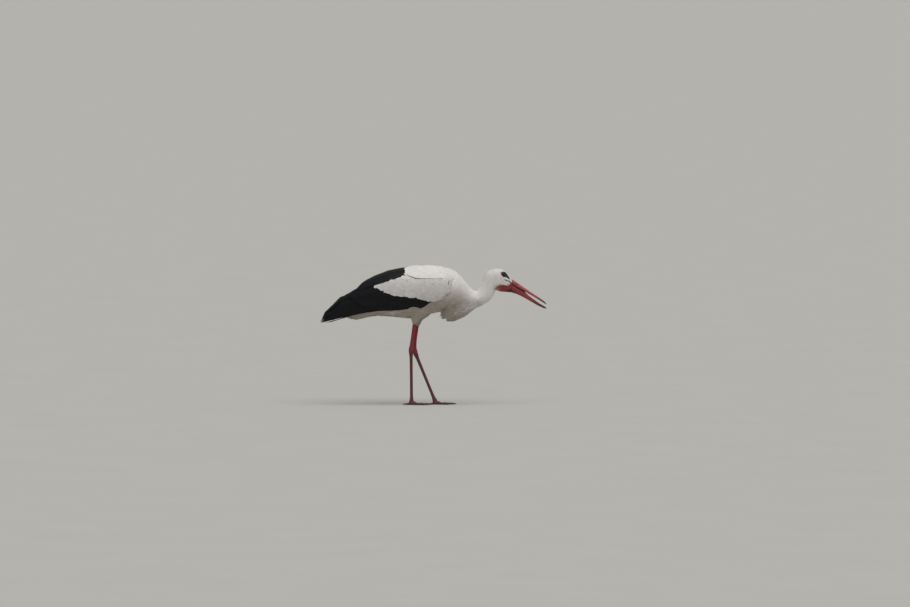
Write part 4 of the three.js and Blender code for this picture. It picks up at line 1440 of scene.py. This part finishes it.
def tail():
    rows = spline(TAIL, np.linspace(0, 6, 61))
    share = np.linspace(-1, 1, 41)
    x = np.broadcast_to(rows[:, :1], (61, 41))
    y = rows[:, 2:3] * share
    z = rows[:, 1:2] + rows[:, 3:4] * 0.6 * np.sqrt(1 - 0.98 * share**2) - rows[:, 4:5] * share**2
    coat = Coat(Surface(np.stack([x, y, z], -1), False, [0, 0, 1]))
    t = stations(14)[None]
    for i in (5, 4, 3, 2, 1, 0):
        for side in (-1, 1):
            us = 2 + (57.6 - 0.9 * i) * t
            vs = 20 + side * (1.5 + 3.1 * i + 0.25 * i * t)
            coat.add(us, vs, 230, 10.5, -1.5 * (1 - t) - 0.32 * i,
                     WHITE * random.normal(0.97, 0.02), point=7, camber=0.05, thick=0.6)
    coat.build("tail_feathers", WHITE_VANES, "white_feathers", ["tail"])


tail()

# ---------- build: bill, eyes and claws ----------


def bill_half(name, table, upper):
    rows = dense(table, 40)
    ridge, edge, half = rows[:, :2], rows[:, 2:4], rows[:, 4:]
    angle = np.linspace(0, np.pi, 41)
    inner = np.linspace(-1, 1, 25)[1:-1]
    hollow = np.maximum(0.93 - np.abs(inner), 0) ** 0.6 * (0.42 if upper else 0.5)
    up = np.concatenate([np.sin(angle) ** 0.85, hollow])
    x, z = (edge[:, i:i + 1] + (ridge - edge)[:, i:i + 1] * up for i in (0, 1))
    y = half * np.concatenate([np.cos(angle), inner])
    p, faces = loft(np.stack([x, y, z], -1))
    obj = mesh_object(name, p, faces)
    along = np.clip((p[:, 0] - 322) / 144, 0, 1)
    high, low = (np.interp(p[:, 0], table[:, i], table[:, i + 1]) for i in (0, 2))
    level = np.abs(p[:, 2] - low) / np.maximum(np.abs(high - low), 0.5)
    outer = np.append(np.tile(np.arange(len(up)) < len(angle), len(rows)), [False] * 2)
    colour = mix(BILL_ROOT, BILL_BRIGHT, smoothstep(0.1, 0.7, along))
    if upper:
        # The nostril's slit, and the seam that runs on from it.
        slit = bell(p[:, 0], 347, 7.5) * bell(level, 0.62, 0.075) * outer
        seam = bell(level, 0.45, 0.05) * 0.22 * smoothstep(1, 0.5, along) * outer
        write_points(obj, p - vectors(obj, "normal") * (slit * 1.4 + seam)[:, None])
        # Painted reflection of the sky: the horn grows lighter towards the ridge.
        colour = mix(colour, colour + [0.07, 0.03, 0.03], np.clip(level, 0, 1) ** 2)
        colour = mix(colour, BILL_DARK, smoothstep(0.62, 0.95, along) * 0.88)
        # Painted shade: darker along the cutting edge, by the shaded gap between the halves.
        tomium_shade = smoothstep(0.5, 0.1, level) * smoothstep(0.2, 0.5, along) * 0.7
        # The nostril's slit is darkened as painted shade in its hollow.
        colour = mix(colour, BILL_DARK, tomium_shade) * (1 - 0.85 * slit)[:, None]
    else:
        colour = mix(colour, BILL_DARK, smoothstep(0.42, 0.85, along) * 0.88)
        chin = smoothstep(356, 326, p[:, 0]) * smoothstep(0.5, 0.85, level)
        colour = mix(colour, BARE_BLACK, chin)
    # Painted shade: the halves' inner faces, inside the mouth, are darker.
    colour[~outer] *= 0.45
    paint(obj, colour)
    piece(obj, BILL, [name])


bill_half("bill_upper", BILL_UPPER, True)
bill_half("bill_lower", BILL_LOWER, False)


def eye(side, label):
    centre = EYE * [1, side, 1]
    polar = np.linspace(0.02, np.pi - 0.02, 49)[:, None]
    around = np.arange(64) * 2 * np.pi / 64
    p, faces = loft(centre + EYE_RADIUS * np.stack([
        np.sin(polar) * np.cos(around), side * np.cos(polar) * np.ones(64),
        np.sin(polar) * np.sin(around)], -1))
    ball = mesh_object(f"eye_{label}", p, faces)
    axis = unit(np.array([0.12, side, 0.0]))
    away = np.linalg.norm(unit(p - centre) - axis, axis=1)[:, None] * EYE_RADIUS
    paint(ball, np.where(away < PUPIL_RADIUS, PUPIL, np.where(away > IRIS_RADIUS, EYE_RIM, IRIS)))
    piece(ball, EYES, [f"eye_{label}"])


eye(-1, "right")
eye(1, "left")

CLAW_ROWS = np.array([
    [-0.25, 0.95, 0.66, 0.62], [0, 0.98, 0.74, 0.72], [0.4, 0.88, 0.62, 0.56],
    [0.75, 0.62, 0.4, 0.36], [1, 0.3, 0.12, 0.12],
])


def claws():
    lofts = []
    rows = dense(CLAW_ROWS, 8)
    for side, _, foot in LEGS.values():
        for _, heading, length, _, tip, _, claw in TOES:
            ahead, across = toe_axes(heading, side)
            at = foot + ahead * (length + rows[:, :1] * claw)
            limb = np.column_stack([at[:, :2], tip * rows[:, 1:]])
            lofts.append(loft(limb_rings(limb, 24, across, 0.0)))
    obj = joined("claws", lofts)
    paint(obj, np.tile(CLAW_BLACK, (len(obj.data.vertices), 1)))
    names = [f"leg_{leg}_{toe[0]}_claw" for leg in LEGS for toe in TOES]
    piece(obj, CLAW, names)


claws()

# ---------- floor, light and camera ----------


def floor():
    radius, sides = 3e6, 96
    a = np.arange(sides) * 2 * np.pi / sides
    rings = [np.stack([r * np.cos(a), r * np.sin(a), 0 * a], 1)
             for r in (2e3, 2e4, 2e5, radius)]
    points = np.vstack(rings + [np.zeros((1, 3))])
    base = np.arange(4 * sides).reshape(4, sides)
    after = np.roll(base, -1, 1)
    quads = np.stack([base[:-1], base[1:], after[1:], after[:-1]], -1).reshape(-1, 4)
    hub = np.stack([np.full(sides, 4 * sides), base[0], after[0]], -1)
    obj = mesh_object("floor", points, [quads, hub])
    make = Shader("floor")
    tone = make.varied((0.52, 0.51, 0.48), 3, 4, 0.97, 1.03)
    obj.data.materials.append(make.made(tone, 0.9, {"Specular IOR Level": 0.1}))


floor()

world = bpy.data.worlds.new("sky")
world.use_nodes = True
sky = world.node_tree.nodes["Background"]
sky.inputs["Color"].default_value = (0.62, 0.64, 0.66, 1)
sky.inputs["Strength"].default_value = 0.5
bpy.context.scene.world = world
bpy.context.scene.view_settings.view_transform = "Standard"

sun = bpy.data.lights.new("sun", "SUN")
sun.energy = 2.0
sun.angle = math.radians(60)
sun.color = (1.0, 0.97, 0.93)
lamp = bpy.data.objects.new("sun", sun)
lamp.rotation_euler = (math.radians(24), math.radians(6), math.radians(10))
bpy.context.scene.collection.objects.link(lamp)

# The photo's view: from far off, level with the back, as through a long lens.
VIEW_FROM, VIEW_OF = (0.091, -38.0, 1.76), (0.091, 0, 0.416)
lens = bpy.data.cameras.new("camera")
lens.lens = 366.6
lens.clip_start = 1
lens.clip_end = 20000
camera = bpy.data.objects.new("camera", lens)
camera.location = VIEW_FROM
camera.rotation_euler = (
    math.pi / 2 + math.atan2(VIEW_OF[2] - VIEW_FROM[2], VIEW_OF[1] - VIEW_FROM[1]), 0, 0)
bpy.context.scene.collection.objects.link(camera)
bpy.context.scene.camera = camera
